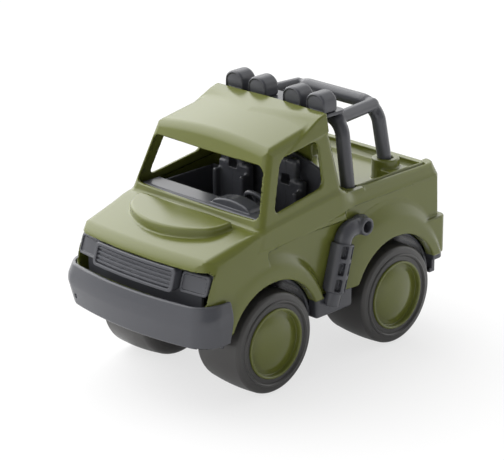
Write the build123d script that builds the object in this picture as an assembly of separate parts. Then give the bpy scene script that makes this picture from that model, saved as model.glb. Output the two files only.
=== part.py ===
from build123d import *
import os
from math import cos, pi, radians, sin

# A moulded plastic toy pickup. Millimetres. The front faces -Y, the left side is +X, the floor is Z = 0,
# and the origin is on the floor under the middle of the toy.
os.makedirs("parts", exist_ok=True)

# Overall layout
FRONT_OVERHANG = 67.5           # front bumper's face to the front axle
WHEELBASE = 107.0
REAR_OVERHANG = 48.5            # rear axle to the rear bumper's face
BODY_HALF = 57.5                # half width of the green body at its bottom edge
FRONT_Y = -(FRONT_OVERHANG + WHEELBASE + REAR_OVERHANG) / 2
REAR_Y = -FRONT_Y
FRONT_AXLE_Y = FRONT_Y + FRONT_OVERHANG
REAR_AXLE_Y = FRONT_AXLE_Y + WHEELBASE
AXLE_YS = (FRONT_AXLE_Y, REAR_AXLE_Y)

# Clearances
SEAT_GAP = 0.2                  # between two fixed mouldings that nest
RUN_GAP = 0.05                  # radial, for the rod in its bearings
WALL = 2.2                      # green moulding
TRIM_WALL = 2.4                 # dark mouldings

# Wheels
TYRE_R = 31.5                   # at the middle of the crowned tread
TYRE_EDGE_R = 30.2              # where the tread meets the shoulders
TYRE_WIDTH = 39.5
TYRE_SHOULDER = 6.5             # radius of the tread's rounded shoulders
TYRE_SKIN = 3.0                 # the tyre is hollow
TYRE_STEP = 0.9                 # height of the ring on the sidewall
TYRE_RING_R = 26.5              # outside of that ring
TYRE_OUTER_X = BODY_HALF + 2.0  # half the width over the tyres
HUB_R = 21.6
HUB_BEAD = 1.9                  # width of the bead round the rim
HUB_GROOVE = 2.4                # width of the groove inside it
HUB_GROOVE_DEPTH = 2.6
HUB_DOME_RISE = 3.0
HUB_SKIN = 2.0
HUB_BOSS_R = 5.0
AXLE_R = 2.0
AXLE_Z = TYRE_R

# Green body: heights, half widths and stations
BODY_BOTTOM_Z = 47.5
DOOR_HALF = BODY_HALF - 2.9     # recessed panels between and behind the flares
DOOR_STEP = 1.3                 # below the belt crease
NOSE_SETBACK = 6.0              # bumper's face to the nose
NOSE_FOOT_Z = 73.5              # the nose stands upright below this
NOSE_LEAN = 0.31                # setback for each mm of height above it
NOSE_BOW = 5.5
NOSE_CORNER_R = 6.0
TAIL_SETBACK = 4.0
TAIL_CORNER_R = 8.0
COWL_TO_AXLE = 13.0             # cab's front foot, ahead of the front axle
CAB_LENGTH = 77.5               # cowl to the foot of the rear wall
COWL_Y = FRONT_AXLE_Y - COWL_TO_AXLE
CAB_REAR_Y = COWL_Y + CAB_LENGTH
COWL_Z = 101.5
BED_Z = 106.0
BED_HALF = BODY_HALF - 6.0

# Cab
CAB_FOOT_Z = 99.5
CAB_FOOT_HALF = BODY_HALF - 2.1
CAB_SIDE_LEAN = 0.195           # half width lost for each mm of height
SCREEN_LEAN = 0.372
BACK_LEAN = 0.118
SCREEN_BOW = 2.0
CAB_CORNER_R = 4.0
ROOF_FRONT_Z = 144.0            # at the screen's corners
ROOF_RISE = 0.175               # for each mm towards the rear
ROOF_CROWN = 3.6
ROOF_CROWN_HALF = CAB_FOOT_HALF - 9.4
PAD_HALF = ROOF_CROWN_HALF - 3.0                 # raised rear part of the roof
PAD_LENGTH = 19.0
PAD_RISE = 3.6

# Windows: half widths, heights and setbacks from the cowl
SCREEN_SILL_Z = 107.3
SCREEN_HEAD_Z = 136.6
SCREEN_SILL_HALF = CAB_FOOT_HALF - 4.4
SCREEN_HEAD_HALF = CAB_FOOT_HALF - 10.4
SIDE_FRONT_SILL = (17.0, 108.5)   # distance behind the cowl, height
SIDE_REAR_SILL = (60.0, 115.0)
SIDE_REAR_HEAD = (60.0, 142.5)
SIDE_FRONT_HEAD = (28.0, 138.5)
BACK_SILL_Z = 114.5
BACK_HEAD_Z = 134.5
BACK_OUTER_X = CAB_FOOT_HALF - 15.4
BACK_INNER_X = BACK_OUTER_X - 9.5
WINDOW_R = 3.5

# Arches and flares
ARCH_R = 37.5
ARCH_LIFT = 1.0                 # arch centre above the axle
FLARE_LIP = 3.5                 # flat ring round the opening
FLARE_X = BODY_HALF + 1.1
FLARE_SINK = 2.0                # how far the flare starts inside the door panel
FLARES = (                      # axle, crest centre behind the axle, its height, its radius
    (FRONT_AXLE_Y, -3.5, 39.5, 47.5),
    (REAR_AXLE_Y, -7.0, 42.5, 50.0),
)

# Bonnet scoop
SCOOP_HALF = BODY_HALF - 18.5
SCOOP_LENGTH = 25.5
SCOOP_SIDE = 9.0                # straight part of its sides
SCOOP_REAR_Z = 105.9
SCOOP_FRONT_Z = 99.1
SCOOP_GAP = 1.2                 # slot between scoop and cowl

# Bed
TRAY_HALF = BED_HALF - 6.5
TRAY_DEPTH = 8.0
TRAY_FRONT_GAP = 7.5            # behind the cab's rear wall
TAILGATE = 4.6                  # thickness of the rear rim
TAILGATE_DROP = 2.6             # rear rim below the side rims
RIM_GROOVE_X = BED_HALF - 3.9
RIM_GROOVE_WIDTH = 2.0
RIM_GROOVE_DEPTH = 1.4
BOSS_R = 8.6
BOSS_X = TRAY_HALF - 10.8
BOSS_Z = 111.5
BOSS_BEFORE_TAIL = 29.5
REAR_BUMPER_Z = 71.5
REAR_BUMPER_HALF = BODY_HALF - 0.5

# Roll bar
BAR_R = 4.4
BAR_FRONT_FOOT_X = TRAY_HALF - 1.0
BAR_FRONT_TOP_X = BAR_FRONT_FOOT_X - 6.5
BAR_FRONT_BEHIND_CAB = 13.0
BAR_TOP_Z = 147.0               # centre line of the top tubes
BAR_REAR_X = BOSS_X - 0.7
BAR_REAR_RAKE = 8.3             # rear hoop's top ahead of its feet
BAR_BEND_R = 12.0
BAR_PLUG = 5.0                  # depth of each foot in its socket

# Lamps on the tray over the roof's rear edge
TRAY_Z = 151.7
LAMP_TRAY_HALF = 42.0
LAMP_TRAY_THICK = 2.2
LAMP_XS = (-33.5, -14.5, 14.5, 33.5)
LAMP_WIDTH = 15.4
LAMP_HEIGHT = 12.0
LAMP_DEPTH = 12.5

# Front bumper
BUMPER_HALF = BODY_HALF + 5.0
BUMPER_FOOT_Z = 43.0
BUMPER_CREASE_Z = 59.5
BUMPER_LIP_Z = 69.0
BUMPER_SHELF_Z = 64.5
BUMPER_BOW = 8.0
BUMPER_CORNER_R = 14.0
BUMPER_WRAP = 30.0              # how far the ends reach back
BUMPER_FOOT_IN = 3.0            # foot and lip behind the crease
BUMPER_LIP_IN = 2.6
DIMPLE = (-47.5, 49.5)          # across, height of the moulded dimple
DIMPLE_R = 1.3
DIMPLE_DEPTH = 1.2

# Grille and headlamps
GRILLE_HALF = BODY_HALF - 24.0
GRILLE_FOOT_Z = 73.1
GRILLE_HEAD_Z = 86.7
GRILLE_RIBS = 4
GRILLE_PROUD = 0.3              # ahead of the nose's surface
HEADLAMP_SETBACK = 4.4
HEADLAMP_THICK = 2.8
HEADLAMP_GAP = 0.6              # between headlamp and grille
NOSE_HOLE_HALF = BODY_HALF - 3.3
HEADLAMP_OUTER_X = NOSE_HOLE_HALF - 0.4
NOSE_HOLE_FOOT_Z = 67.5
NOSE_HOLE_HEAD_Z = 87.2
CARRIER_HALF = DOOR_HALF - 5.6             # upright on the chassis that backs grille and headlamps
CARRIER_THICK = 2.4

# Chassis
PLATE_Z = 34.5
PLATE_THICK = 2.6
NOSE_PLATE_Z = 43.5             # raised front of the pan, hidden behind the bumper
WHEEL_CLEARANCE = 1.2           # beside the tyre's inner face
PLATE_WAIST = TYRE_OUTER_X - TYRE_WIDTH - WHEEL_CLEARANCE   # half width between the wheels
LINER_WALL = 1.8
LINER_R = ARCH_R - SEAT_GAP - LINER_WALL
BEARING_THICK = 4.0
BEARING_R = 5.5
SILL_HALF = BODY_HALF - 1.3
SILL_WIDTH = 7.0
TAIL_PLATE = 5.0                # length of the pan behind the rear wheels
TAIL_STRIP = 12.0               # grey strip under the rear bumper
POST = 7.0                      # square posts under the cab's interior tray

# Cab interior
TUB_FLOOR_Z = 75.5
TUB_RIM_Z = 104.0
TUB_HALF = CAB_FOOT_HALF - 5.4
DASH_TOP = 2.5                  # thickness of the dashboard pad over the rim
DASH_DEPTH = 17.0
SEAT_X = TUB_HALF - 28.0
SEAT_WIDTH = 26.0
CUSHION = 11.0                  # height of the seat cushions
SEAT_TOP_Z = 126.5
WHEEL_REACH = 9.5               # steering wheel behind the dashboard
WHEEL_TILT = 25.0
COLUMN_R = 1.8

# Side exhausts
STACK_X = BODY_HALF - 0.5
STACK_R = 7.5
STACK_FOOT_Z = 49.5
STACK_HEAD_Z = 78.5
STACK_LEAN = 0.28
STACK_FOOT_AHEAD = 3.2          # of the point midway between the axles


def both_sides(shape):
    return shape + mirror(shape, Plane.YZ)


def closed(*edges):
    """A flat face from edges given in order."""
    return make_face(list(edges))


def body_section(y, low, crease, top, crown, inset):
    """One upright section of the lower body: foot, crease and top edge, each (inside the half width, z)."""
    half = BODY_HALF - inset
    right = [(half - low[0], y, low[1] - (6 if inset > 0 else 0)),
             (half - crease[0], y, crease[1] - inset / 2),
             (half - top[0], y, top[1] - inset)]
    left = [(-x, y, z) for x, y, z in reversed(right)]
    return Wire([
        Line(left[-1], right[0]), Line(right[0], right[1]), Line(right[1], right[2]),
        ThreePointArc(right[2], (0, y, right[2][2] + crown), left[0]),
        Line(left[0], left[1]), Line(left[1], left[2]),
    ])


def plan(z, nose_y, tail_y, half, bow, nose_r, tail_r):
    """A plan outline with a bowed nose and rounded corners."""
    corner = nose_y + bow
    face = closed(
        ThreePointArc((-half, corner), (0, nose_y), (half, corner)),
        Line((half, corner), (half, tail_y)),
        Line((half, tail_y), (-half, tail_y)),
        Line((-half, tail_y), (-half, corner)))
    face = fillet(face.vertices().sort_by(Axis.Y)[:2], nose_r)
    face = fillet(face.vertices().sort_by(Axis.Y)[-2:], tail_r)
    return Pos(0, 0, z) * face


def nose_y_at(z):
    return FRONT_Y + NOSE_SETBACK + NOSE_LEAN * max(z - NOSE_FOOT_Z, 0)


STATIONS = (     # y, belt crease (inside the half width, z), top edge (inside the half width, z), crown
    (FRONT_Y - 4, (2.9, 80.7), (8.9, 87.5), 1.5),
    (COWL_Y, (0.5, 88.5), (1.5, COWL_Z), 2.0),
    (CAB_REAR_Y - 3, (0.5, 98.0), (2.5, 110.3), 0.6),
    (CAB_REAR_Y + 6, (1.5, 99.0), (BODY_HALF - BED_HALF, BED_Z), 0.4),
    (REAR_Y + 4, (2.0, 99.5), (BODY_HALF - BED_HALF + 0.5, BED_Z - 0.5), 0.4),
)


def crease_z(y):
    """Height of the belt crease."""
    for (y0, (_, z0), _, _), (y1, (_, z1), _, _) in zip(STATIONS, STATIONS[1:]):
        if y <= y1:
            break
    return z0 + (z1 - z0) * (y - y0) / (y1 - y0)


def lower_body(inset=0.0):
    """Bonnet, wings, doors and bed as one closed form, smaller all round by inset."""
    tail = REAR_Y - TAIL_SETBACK
    form = Solid.make_loft([
        body_section(y, (0, BODY_BOTTOM_Z), crease, top, crown, inset)
        for y, crease, top, crown in STATIONS], ruled=True)
    heights = (BODY_BOTTOM_Z - 10, NOSE_FOOT_Z, BED_Z + 12)
    limit = loft([
        plan(z, nose_y_at(z) + inset, tail - inset, BODY_HALF - inset, NOSE_BOW,
             NOSE_CORNER_R - inset / 2, TAIL_CORNER_R - inset / 2)
        for z in heights], ruled=True)
    form = form & limit
    front = FRONT_AXLE_Y + FLARES[0][1] - inset
    ys = [front] + [y for y, _, _, _ in STATIONS if front < y < REAR_Y] + [REAR_Y + 3]
    top = [(y, crease_z(y) - DOOR_STEP + inset) for y in ys]
    outline = [(front, BODY_BOTTOM_Z - 20)] + top + [(REAR_Y + 3, BODY_BOTTOM_Z - 20)]
    pocket = extrude(Plane.YZ * make_face(Polyline(*outline, close=True)), 20)
    pocket = Pos(DOOR_HALF - inset, 0, 0) * pocket
    return form - pocket - mirror(pocket, Plane.YZ)


def cab_plan(z, inset):
    """The cab's outline at one height."""
    up = z - CAB_FOOT_Z
    half = CAB_FOOT_HALF - CAB_SIDE_LEAN * up - inset
    front = COWL_Y + 0.6 + SCREEN_LEAN * up + inset
    rear = CAB_REAR_Y - BACK_LEAN * up - inset
    return plan(z, front, rear, half, SCREEN_BOW, CAB_CORNER_R - inset / 2, CAB_CORNER_R - inset / 2)


def roof_edge_z(y):
    return ROOF_FRONT_Z + ROOF_RISE * (y - (COWL_Y + SCREEN_LEAN * (ROOF_FRONT_Z - CAB_FOOT_Z)))


def crowned_section(y, foot_z, edge_z, half, crown):
    """An upright section with a crowned top."""
    return Wire([
        Line((-half, y, foot_z), (half, y, foot_z)), Line((half, y, foot_z), (half, y, edge_z)),
        ThreePointArc((half, y, edge_z), (0, y, edge_z + crown), (-half, y, edge_z)),
        Line((-half, y, edge_z), (-half, y, foot_z))])


def cab(inset=0.0):
    """The cab from below its foot to its crowned, rising roof."""
    foot = CAB_FOOT_Z - (20 if inset else 0)
    walls = loft([cab_plan(foot, inset), cab_plan(ROOF_FRONT_Z + 25, inset)], ruled=True)
    ends = (COWL_Y - 20, CAB_REAR_Y + 20)
    roof = Solid.make_loft([
        crowned_section(y, foot - 5, roof_edge_z(y) - inset, ROOF_CROWN_HALF + 14,
                        ROOF_CROWN * ((ROOF_CROWN_HALF + 14) / ROOF_CROWN_HALF) ** 2) for y in ends], ruled=True)
    drop = ROOF_CROWN * (((ROOF_CROWN_HALF + 14) / ROOF_CROWN_HALF) ** 2 - 1)
    return walls & (Pos(0, 0, -drop) * roof)


def roof_pad():
    """The raised rear part of the roof, fading out forwards."""
    rear = CAB_REAR_Y - BACK_LEAN * (roof_edge_z(CAB_REAR_Y) - CAB_FOOT_Z) - 1.2
    front = rear - PAD_LENGTH
    sections = (     # y, edge above the roof's edge line, crown
        (front, -1.0, ROOF_CROWN),
        (front + PAD_LENGTH * 0.42, PAD_RISE, ROOF_CROWN * 0.55),
        (rear, PAD_RISE - 0.6, ROOF_CROWN * 0.5),
    )
    return Solid.make_loft([
        crowned_section(y, roof_edge_z(y) - 6, roof_edge_z(y) + lift, PAD_HALF, crown)
        for y, lift, crown in sections], ruled=True)


def flare_pair(axle_y, behind, crest_z, crest_r, grow=0.0):
    """An arch flare on both sides: from a high crest on the panel out to a lip round the opening."""
    arch_z = AXLE_Z + ARCH_LIFT
    lip_r = ARCH_R + FLARE_LIP
    past = FLARE_SINK / (FLARE_X - DOOR_HALF)
    root_y = axle_y + behind * (1 + past)
    root_z = crest_z + (crest_z - arch_z) * past
    root_r = crest_r + (crest_r - lip_r) * past
    root = Plane(origin=(DOOR_HALF - FLARE_SINK, root_y, root_z), z_dir=(1, 0, 0)) * Circle(root_r + grow)
    lip = Plane(origin=(FLARE_X + grow, axle_y, arch_z), z_dir=(1, 0, 0)) * Circle(lip_r + grow)
    side = loft([root, lip], ruled=True)
    low = Pos(0, axle_y, BODY_BOTTOM_Z - grow + 50) * Box(4 * BODY_HALF, 6 * ARCH_R, 100)
    side = side & low
    return both_sides(side)


def skin(gap):
    """The outside of the lower body and its flares, grown by a gap."""
    form = lower_body(-gap)
    for row in FLARES:
        form = form + flare_pair(*row, grow=gap)
    return form


def arch_cut(axle_y, radius, reach=BODY_HALF * 2 + 20):
    return Pos(0, axle_y, AXLE_Z + ARCH_LIFT) * (Rot(0, 90, 0) * Cylinder(radius, reach))


def scoop():
    """The D-shaped raised panel in front of the windscreen."""
    rear = COWL_Y - SCOOP_GAP
    side = rear - SCOOP_SIDE
    face = closed(
        Line((-SCOOP_HALF, rear), (SCOOP_HALF, rear)), Line((SCOOP_HALF, rear), (SCOOP_HALF, side)),
        ThreePointArc((SCOOP_HALF, side), (0, rear - SCOOP_LENGTH), (-SCOOP_HALF, side)),
        Line((-SCOOP_HALF, side), (-SCOOP_HALF, rear)))
    face = fillet(face.vertices().sort_by(Axis.Y)[:2], 8)
    column = extrude(Pos(0, 0, COWL_Z - 9) * face, 30)
    slope = (SCOOP_REAR_Z - SCOOP_FRONT_Z) / SCOOP_LENGTH
    ends = ((rear - SCOOP_LENGTH - 5, SCOOP_FRONT_Z - 5 * slope), (rear + 5, SCOOP_REAR_Z + 5 * slope))
    top = Solid.make_loft([crowned_section(y, COWL_Z - 15, z, SCOOP_HALF + 5, 1.0) for y, z in ends], ruled=True)
    panel = column & top
    return panel


def side_window():
    points = [SIDE_FRONT_SILL, SIDE_REAR_SILL, SIDE_REAR_HEAD, SIDE_FRONT_HEAD]
    outline = Plane.YZ * make_face(Polyline(*[(COWL_Y + back, z) for back, z in points], close=True))
    outline = fillet(outline.vertices(), WINDOW_R)
    return extrude(outline, BODY_HALF + 5, both=True)


def windscreen():
    points = [(-SCREEN_SILL_HALF, SCREEN_SILL_Z), (SCREEN_SILL_HALF, SCREEN_SILL_Z),
              (SCREEN_HEAD_HALF, SCREEN_HEAD_Z), (-SCREEN_HEAD_HALF, SCREEN_HEAD_Z)]
    outline = Plane.XZ * make_face(Polyline(*points, close=True))
    outline = fillet(outline.vertices(), WINDOW_R)
    return Pos(0, COWL_Y + 5, 0) * extrude(outline, 15, both=True)


def back_windows():
    size = (BACK_OUTER_X - BACK_INNER_X, BACK_HEAD_Z - BACK_SILL_Z)
    hole = extrude(Plane.XZ * RectangleRounded(*size, 2.5), 12, both=True)
    middle = (BACK_OUTER_X + BACK_INNER_X) / 2
    height = (BACK_HEAD_Z + BACK_SILL_Z) / 2
    return [Pos(side * middle, CAB_REAR_Y - 3, height) * hole for side in (-1, 1)]


def tray_block(grow):
    """The bed's tray, or the space its floor and walls need under it."""
    front = CAB_REAR_Y + TRAY_FRONT_GAP - grow
    rear = REAR_Y - TAIL_SETBACK - TAILGATE + grow
    half = TRAY_HALF + grow
    floor = BED_Z - TRAY_DEPTH - grow
    block = Pos(0, (front + rear) / 2, floor + 20) * Box(2 * half, rear - front, 40)
    return fillet(block.edges().filter_by(Axis.Z), 5.0 + grow)


def bar_feet():
    """Centres of the roll bar's feet on the left side: (x, y, top of the socket)."""
    front = (BAR_FRONT_FOOT_X, CAB_REAR_Y + BAR_FRONT_BEHIND_CAB, BED_Z)
    rear = (BOSS_X, REAR_Y - TAIL_SETBACK - BOSS_BEFORE_TAIL, BOSS_Z)
    return front, rear


def bed_bosses():
    """Corner pads for the front feet and round bosses with a wing to the side wall for the rear ones."""
    (fx, fy, fz), (rx, ry, rz) = bar_feet()
    floor = BED_Z - TRAY_DEPTH - WALL
    pad = Pos(fx + 1, fy - 2, (floor + fz) / 2) * Box(15, 15, fz - floor)
    boss = Pos(rx, ry, (floor + rz) / 2) * Cylinder(BOSS_R, rz - floor)
    wing = Pos((rx + TRAY_HALF + 1) / 2, ry, (floor + BED_Z) / 2) * Box(TRAY_HALF + 1 - rx, 2 * BOSS_R, BED_Z - floor)
    return both_sides(pad + boss + wing)


def body_shell():
    outer = lower_body() + cab() + roof_pad() + scoop()
    for row in FLARES:
        outer = outer + flare_pair(*row)
    bumper_height = REAR_BUMPER_Z - BODY_BOTTOM_Z
    rear_plan = plan(BODY_BOTTOM_Z, REAR_Y - 24, REAR_Y, REAR_BUMPER_HALF, 0.01, 0.5, 6.0)
    bumper = extrude(rear_plan, bumper_height)
    outer = outer + bumper
    inner = lower_body(WALL) + cab(WALL)
    tray = tray_block(0)
    inner = inner - tray_block(WALL)
    shell = outer - inner - tray
    for axle_y in AXLE_YS:
        shell = shell - arch_cut(axle_y, ARCH_R)
    shell = shell - side_window() - windscreen()
    for hole in back_windows():
        shell = shell - hole
    nose_hole = Pos(0, FRONT_Y + 8, (NOSE_HOLE_FOOT_Z + NOSE_HOLE_HEAD_Z) / 2) * Box(
        2 * NOSE_HOLE_HALF, 30, NOSE_HOLE_HEAD_Z - NOSE_HOLE_FOOT_Z)
    shell = shell - nose_hole
    shell = shell + bed_bosses() - roll_bar(SEAT_GAP)
    groove_front = CAB_REAR_Y + TRAY_FRONT_GAP + 8
    groove_rear = REAR_Y - TAIL_SETBACK - 8
    groove = Pos(RIM_GROOVE_X, (groove_front + groove_rear) / 2, BED_Z + 5 - RIM_GROOVE_DEPTH) * Box(
        RIM_GROOVE_WIDTH, groove_rear - groove_front, 10)
    drop = Pos(0, REAR_Y - TAIL_SETBACK, BED_Z - TAILGATE_DROP + 10) * Box(2 * TRAY_HALF - 6, 2 * TAILGATE + 0.01, 20)
    return shell - both_sides(groove) - drop


def tyre_profile():
    """Half section of the hollow tyre: axial distance from its outer face, radius."""
    r, w, s = TYRE_EDGE_R, TYRE_WIDTH, TYRE_SHOULDER
    bore = HUB_R + 0.1
    k = s * (1 - cos(pi / 4))
    ring = TYRE_RING_R
    outside = closed(
        Line((-1.2, bore), (-1.2, ring - 2.2)), Line((-1.2, ring - 2.2), (0, ring - 1.2)),
        Line((0, ring - 1.2), (-TYRE_STEP, ring - 0.1)),
        ThreePointArc((-TYRE_STEP, ring - 0.1), (-2.6, r - 1.5), (-s, r)),
        ThreePointArc((-s, r), (-w / 2, TYRE_R), (s - w, r)),
        ThreePointArc((s - w, r), (k - w, r - k), (-w, r - s)),
        Line((-w, r - s), (-w, bore)), Line((-w, bore), (-1.2, bore)))
    skin_x = 1.2 + TYRE_SKIN
    hollow = closed(
        Line((-skin_x, bore + 0.6), (-skin_x, r - TYRE_SKIN - 1.2)),
        Line((-skin_x, r - TYRE_SKIN - 1.2), (-skin_x - 3, r - TYRE_SKIN)),
        Line((-skin_x - 3, r - TYRE_SKIN), (TYRE_SKIN - w + 4, r - TYRE_SKIN)),
        Line((TYRE_SKIN - w + 4, r - TYRE_SKIN), (TYRE_SKIN - w, r - TYRE_SKIN - 3)),
        Line((TYRE_SKIN - w, r - TYRE_SKIN - 3), (TYRE_SKIN - w, bore - 2)),
        Line((TYRE_SKIN - w, bore - 2), (-skin_x, bore - 2)), Line((-skin_x, bore - 2), (-skin_x, bore + 0.6)))
    return outside - hollow


def hub_profile():
    """Half section of the hub: domed face, groove, bead and an open back with a boss on the rod."""
    face = -0.4
    groove_out = HUB_R - HUB_BEAD
    groove_in = groove_out - HUB_GROOVE
    depth = HUB_GROOVE_DEPTH
    rise = HUB_DOME_RISE
    back = -TYRE_WIDTH + 1.5
    bore = AXLE_R + RUN_GAP
    rod_end = -rise - HUB_SKIN - 1.0
    return closed(
        Line((rod_end, 0), (face - depth + rise, 0)),
        ThreePointArc((face - depth + rise, 0), (face - depth + rise * 0.76, groove_in * 0.5), (face - depth, groove_in)),
        Line((face - depth, groove_in), (face - depth, groove_out)),
        Line((face - depth, groove_out), (face, groove_out + 0.4)),
        ThreePointArc((face, groove_out + 0.4), (face + 0.4, (groove_out + 0.4 + HUB_R) / 2), (face, HUB_R)),
        Line((face, HUB_R), (back, HUB_R)), Line((back, HUB_R), (back, HUB_R - HUB_SKIN)),
        Line((back, HUB_R - HUB_SKIN), (face - depth - HUB_SKIN, HUB_R - HUB_SKIN)),
        Line((face - depth - HUB_SKIN, HUB_R - HUB_SKIN), (face - depth - HUB_SKIN, HUB_BOSS_R)),
        Line((face - depth - HUB_SKIN, HUB_BOSS_R), (back, HUB_BOSS_R)),
        Line((back, HUB_BOSS_R), (back, bore)), Line((back, bore), (rod_end, bore)),
        Line((rod_end, bore), (rod_end, 0)))


def wheel_part(profile, side, axle_y):
    """Turn a profile about the axle and set it on one side."""
    solid = revolve(profile, Axis.X, 360)
    placed = Pos(TYRE_OUTER_X, 0, 0) * solid
    if side < 0:
        placed = mirror(placed, Plane.YZ)
    return Pos(0, axle_y, AXLE_Z) * placed


def axle_half_length():
    return TYRE_OUTER_X - HUB_DOME_RISE - HUB_SKIN - 1.0 - 0.3


def axle(axle_y):
    return Pos(0, axle_y, AXLE_Z) * (Rot(0, 90, 0) * Cylinder(AXLE_R, 2 * axle_half_length()))


def bumper_outline(z, inset):
    """Plan of the front bumper at one height, closed across its open back."""
    half = BUMPER_HALF - inset
    nose = FRONT_Y + inset
    return plan(z, nose, FRONT_Y + BUMPER_WRAP, half, BUMPER_BOW, BUMPER_CORNER_R, 0.4)


def front_bumper():
    """A C-shaped moulding with a raised crease, a lip and a shelf that meets the body."""
    levels = (     # height, distance behind the crease
        (BUMPER_FOOT_Z, BUMPER_FOOT_IN),
        (BUMPER_CREASE_Z, 0.0),
        (BUMPER_LIP_Z, BUMPER_LIP_IN),
    )
    outer = loft([bumper_outline(z, inset) for z, inset in levels], ruled=True)
    under = loft([
        bumper_outline(z, inset + TRIM_WALL) for z, inset in (
            (BUMPER_FOOT_Z - 1, BUMPER_FOOT_IN + 0.2), (BUMPER_CREASE_Z, 0.0),
            (BUMPER_SHELF_Z - TRIM_WALL, 1.0))], ruled=True)
    over = loft([bumper_outline(z, BUMPER_LIP_IN + TRIM_WALL) for z in (BUMPER_SHELF_Z, BUMPER_LIP_Z + 1)], ruled=True)
    x, z = DIMPLE
    setback = BUMPER_FOOT_IN * (BUMPER_CREASE_Z - z) / (BUMPER_CREASE_Z - BUMPER_FOOT_Z)
    face_y = FRONT_Y + setback + BUMPER_BOW * (x / BUMPER_HALF) ** 2
    dimple = Pos(x, face_y, z) * (Rot(90, 0, 0) * Cylinder(DIMPLE_R, 2 * DIMPLE_DEPTH))
    shape = outer - under - over - dimple
    return shape - skin(SEAT_GAP)


def front_plate(half_from, half_to, foot_z, head_z, depth, forward):
    """A slab that follows the nose's bow and lean, between two half widths."""
    front = loft([
        plan(z, nose_y_at(z) - forward, nose_y_at(z) + 40, BODY_HALF - 1, NOSE_BOW, 3.0, 1.0)
        for z in (foot_z, head_z)], ruled=True)
    back = loft([
        plan(z, nose_y_at(z) - forward + depth, nose_y_at(z) + 50, BODY_HALF + 5, NOSE_BOW, 3.0, 1.0)
        for z in (foot_z - 1, head_z + 1)], ruled=True)
    width = half_to - half_from
    window = Pos((half_from + half_to) / 2, FRONT_Y + 20, (foot_z + head_z) / 2) * Box(width, 80, head_z - foot_z)
    return (front & window) - back


def grille():
    """A plate with rounded corners and raised louvre ribs."""
    depth = GRILLE_PROUD + HEADLAMP_SETBACK + HEADLAMP_THICK
    slab = front_plate(-GRILLE_HALF, GRILLE_HALF, GRILLE_FOOT_Z, GRILLE_HEAD_Z, depth, GRILLE_PROUD)
    outline = RectangleRounded(2 * GRILLE_HALF, GRILLE_HEAD_Z - GRILLE_FOOT_Z, 2.6)
    window = Pos(0, FRONT_Y, (GRILLE_HEAD_Z + GRILLE_FOOT_Z) / 2) * extrude(Plane.XZ * outline, 30, both=True)
    slab = slab & window
    pitch = (GRILLE_HEAD_Z - GRILLE_FOOT_Z - 3.0) / GRILLE_RIBS
    for i in range(GRILLE_RIBS):
        z = GRILLE_FOOT_Z + 1.5 + pitch * (i + 0.5)
        slot = front_plate(-GRILLE_HALF + 3, GRILLE_HALF - 3, z - pitch * 0.16, z + pitch * 0.16, 1.4, GRILLE_PROUD + 0.5)
        slab = slab - slot
    return slab


def headlamp(side):
    inner = GRILLE_HALF + HEADLAMP_GAP
    foot = GRILLE_FOOT_Z + 0.2
    head = GRILLE_HEAD_Z - 1.4
    lens = front_plate(inner, HEADLAMP_OUTER_X, foot, head, HEADLAMP_THICK, -HEADLAMP_SETBACK)
    return lens if side > 0 else mirror(lens, Plane.YZ)


def wheel_liner(axle_y, side):
    """Arched liner over one wheel with a wall beside its inner face, standing on the floor pan."""
    centre = AXLE_Z + ARCH_LIFT
    inner_x = PLATE_WAIST - LINER_WALL
    outer_x = DOOR_HALF - FLARE_SINK - SEAT_GAP - 0.3
    length = outer_x - inner_x
    ring = Rot(0, 90, 0) * (Cylinder(LINER_R + LINER_WALL, length) - Cylinder(LINER_R, length + 1))
    ring = Pos((inner_x + outer_x) / 2, axle_y, centre) * ring
    disc = Rot(0, 90, 0) * Cylinder(LINER_R + LINER_WALL / 2, LINER_WALL)
    disc = Pos(inner_x + LINER_WALL / 2, axle_y, centre) * disc
    keep = Pos(0, axle_y, PLATE_Z + PLATE_THICK + 50) * Box(3 * BODY_HALF, 4 * LINER_R, 100)
    liner = (ring + disc) & keep
    return liner if side > 0 else mirror(liner, Plane.YZ)


def slab(half_x, y_from, y_to, z_from, z_to):
    """A block centred on the middle plane."""
    return Pos(0, (y_from + y_to) / 2, (z_from + z_to) / 2) * Box(2 * half_x, y_to - y_from, z_to - z_from)


def post_spots():
    """Centres of the posts under the cab's interior tray."""
    front = FRONT_AXLE_Y + 14
    rear = CAB_REAR_Y - 16
    return [(x, y) for x, y in ((10.0, front), (-10.0, front), (34.0, rear), (-34.0, rear))]


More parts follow.
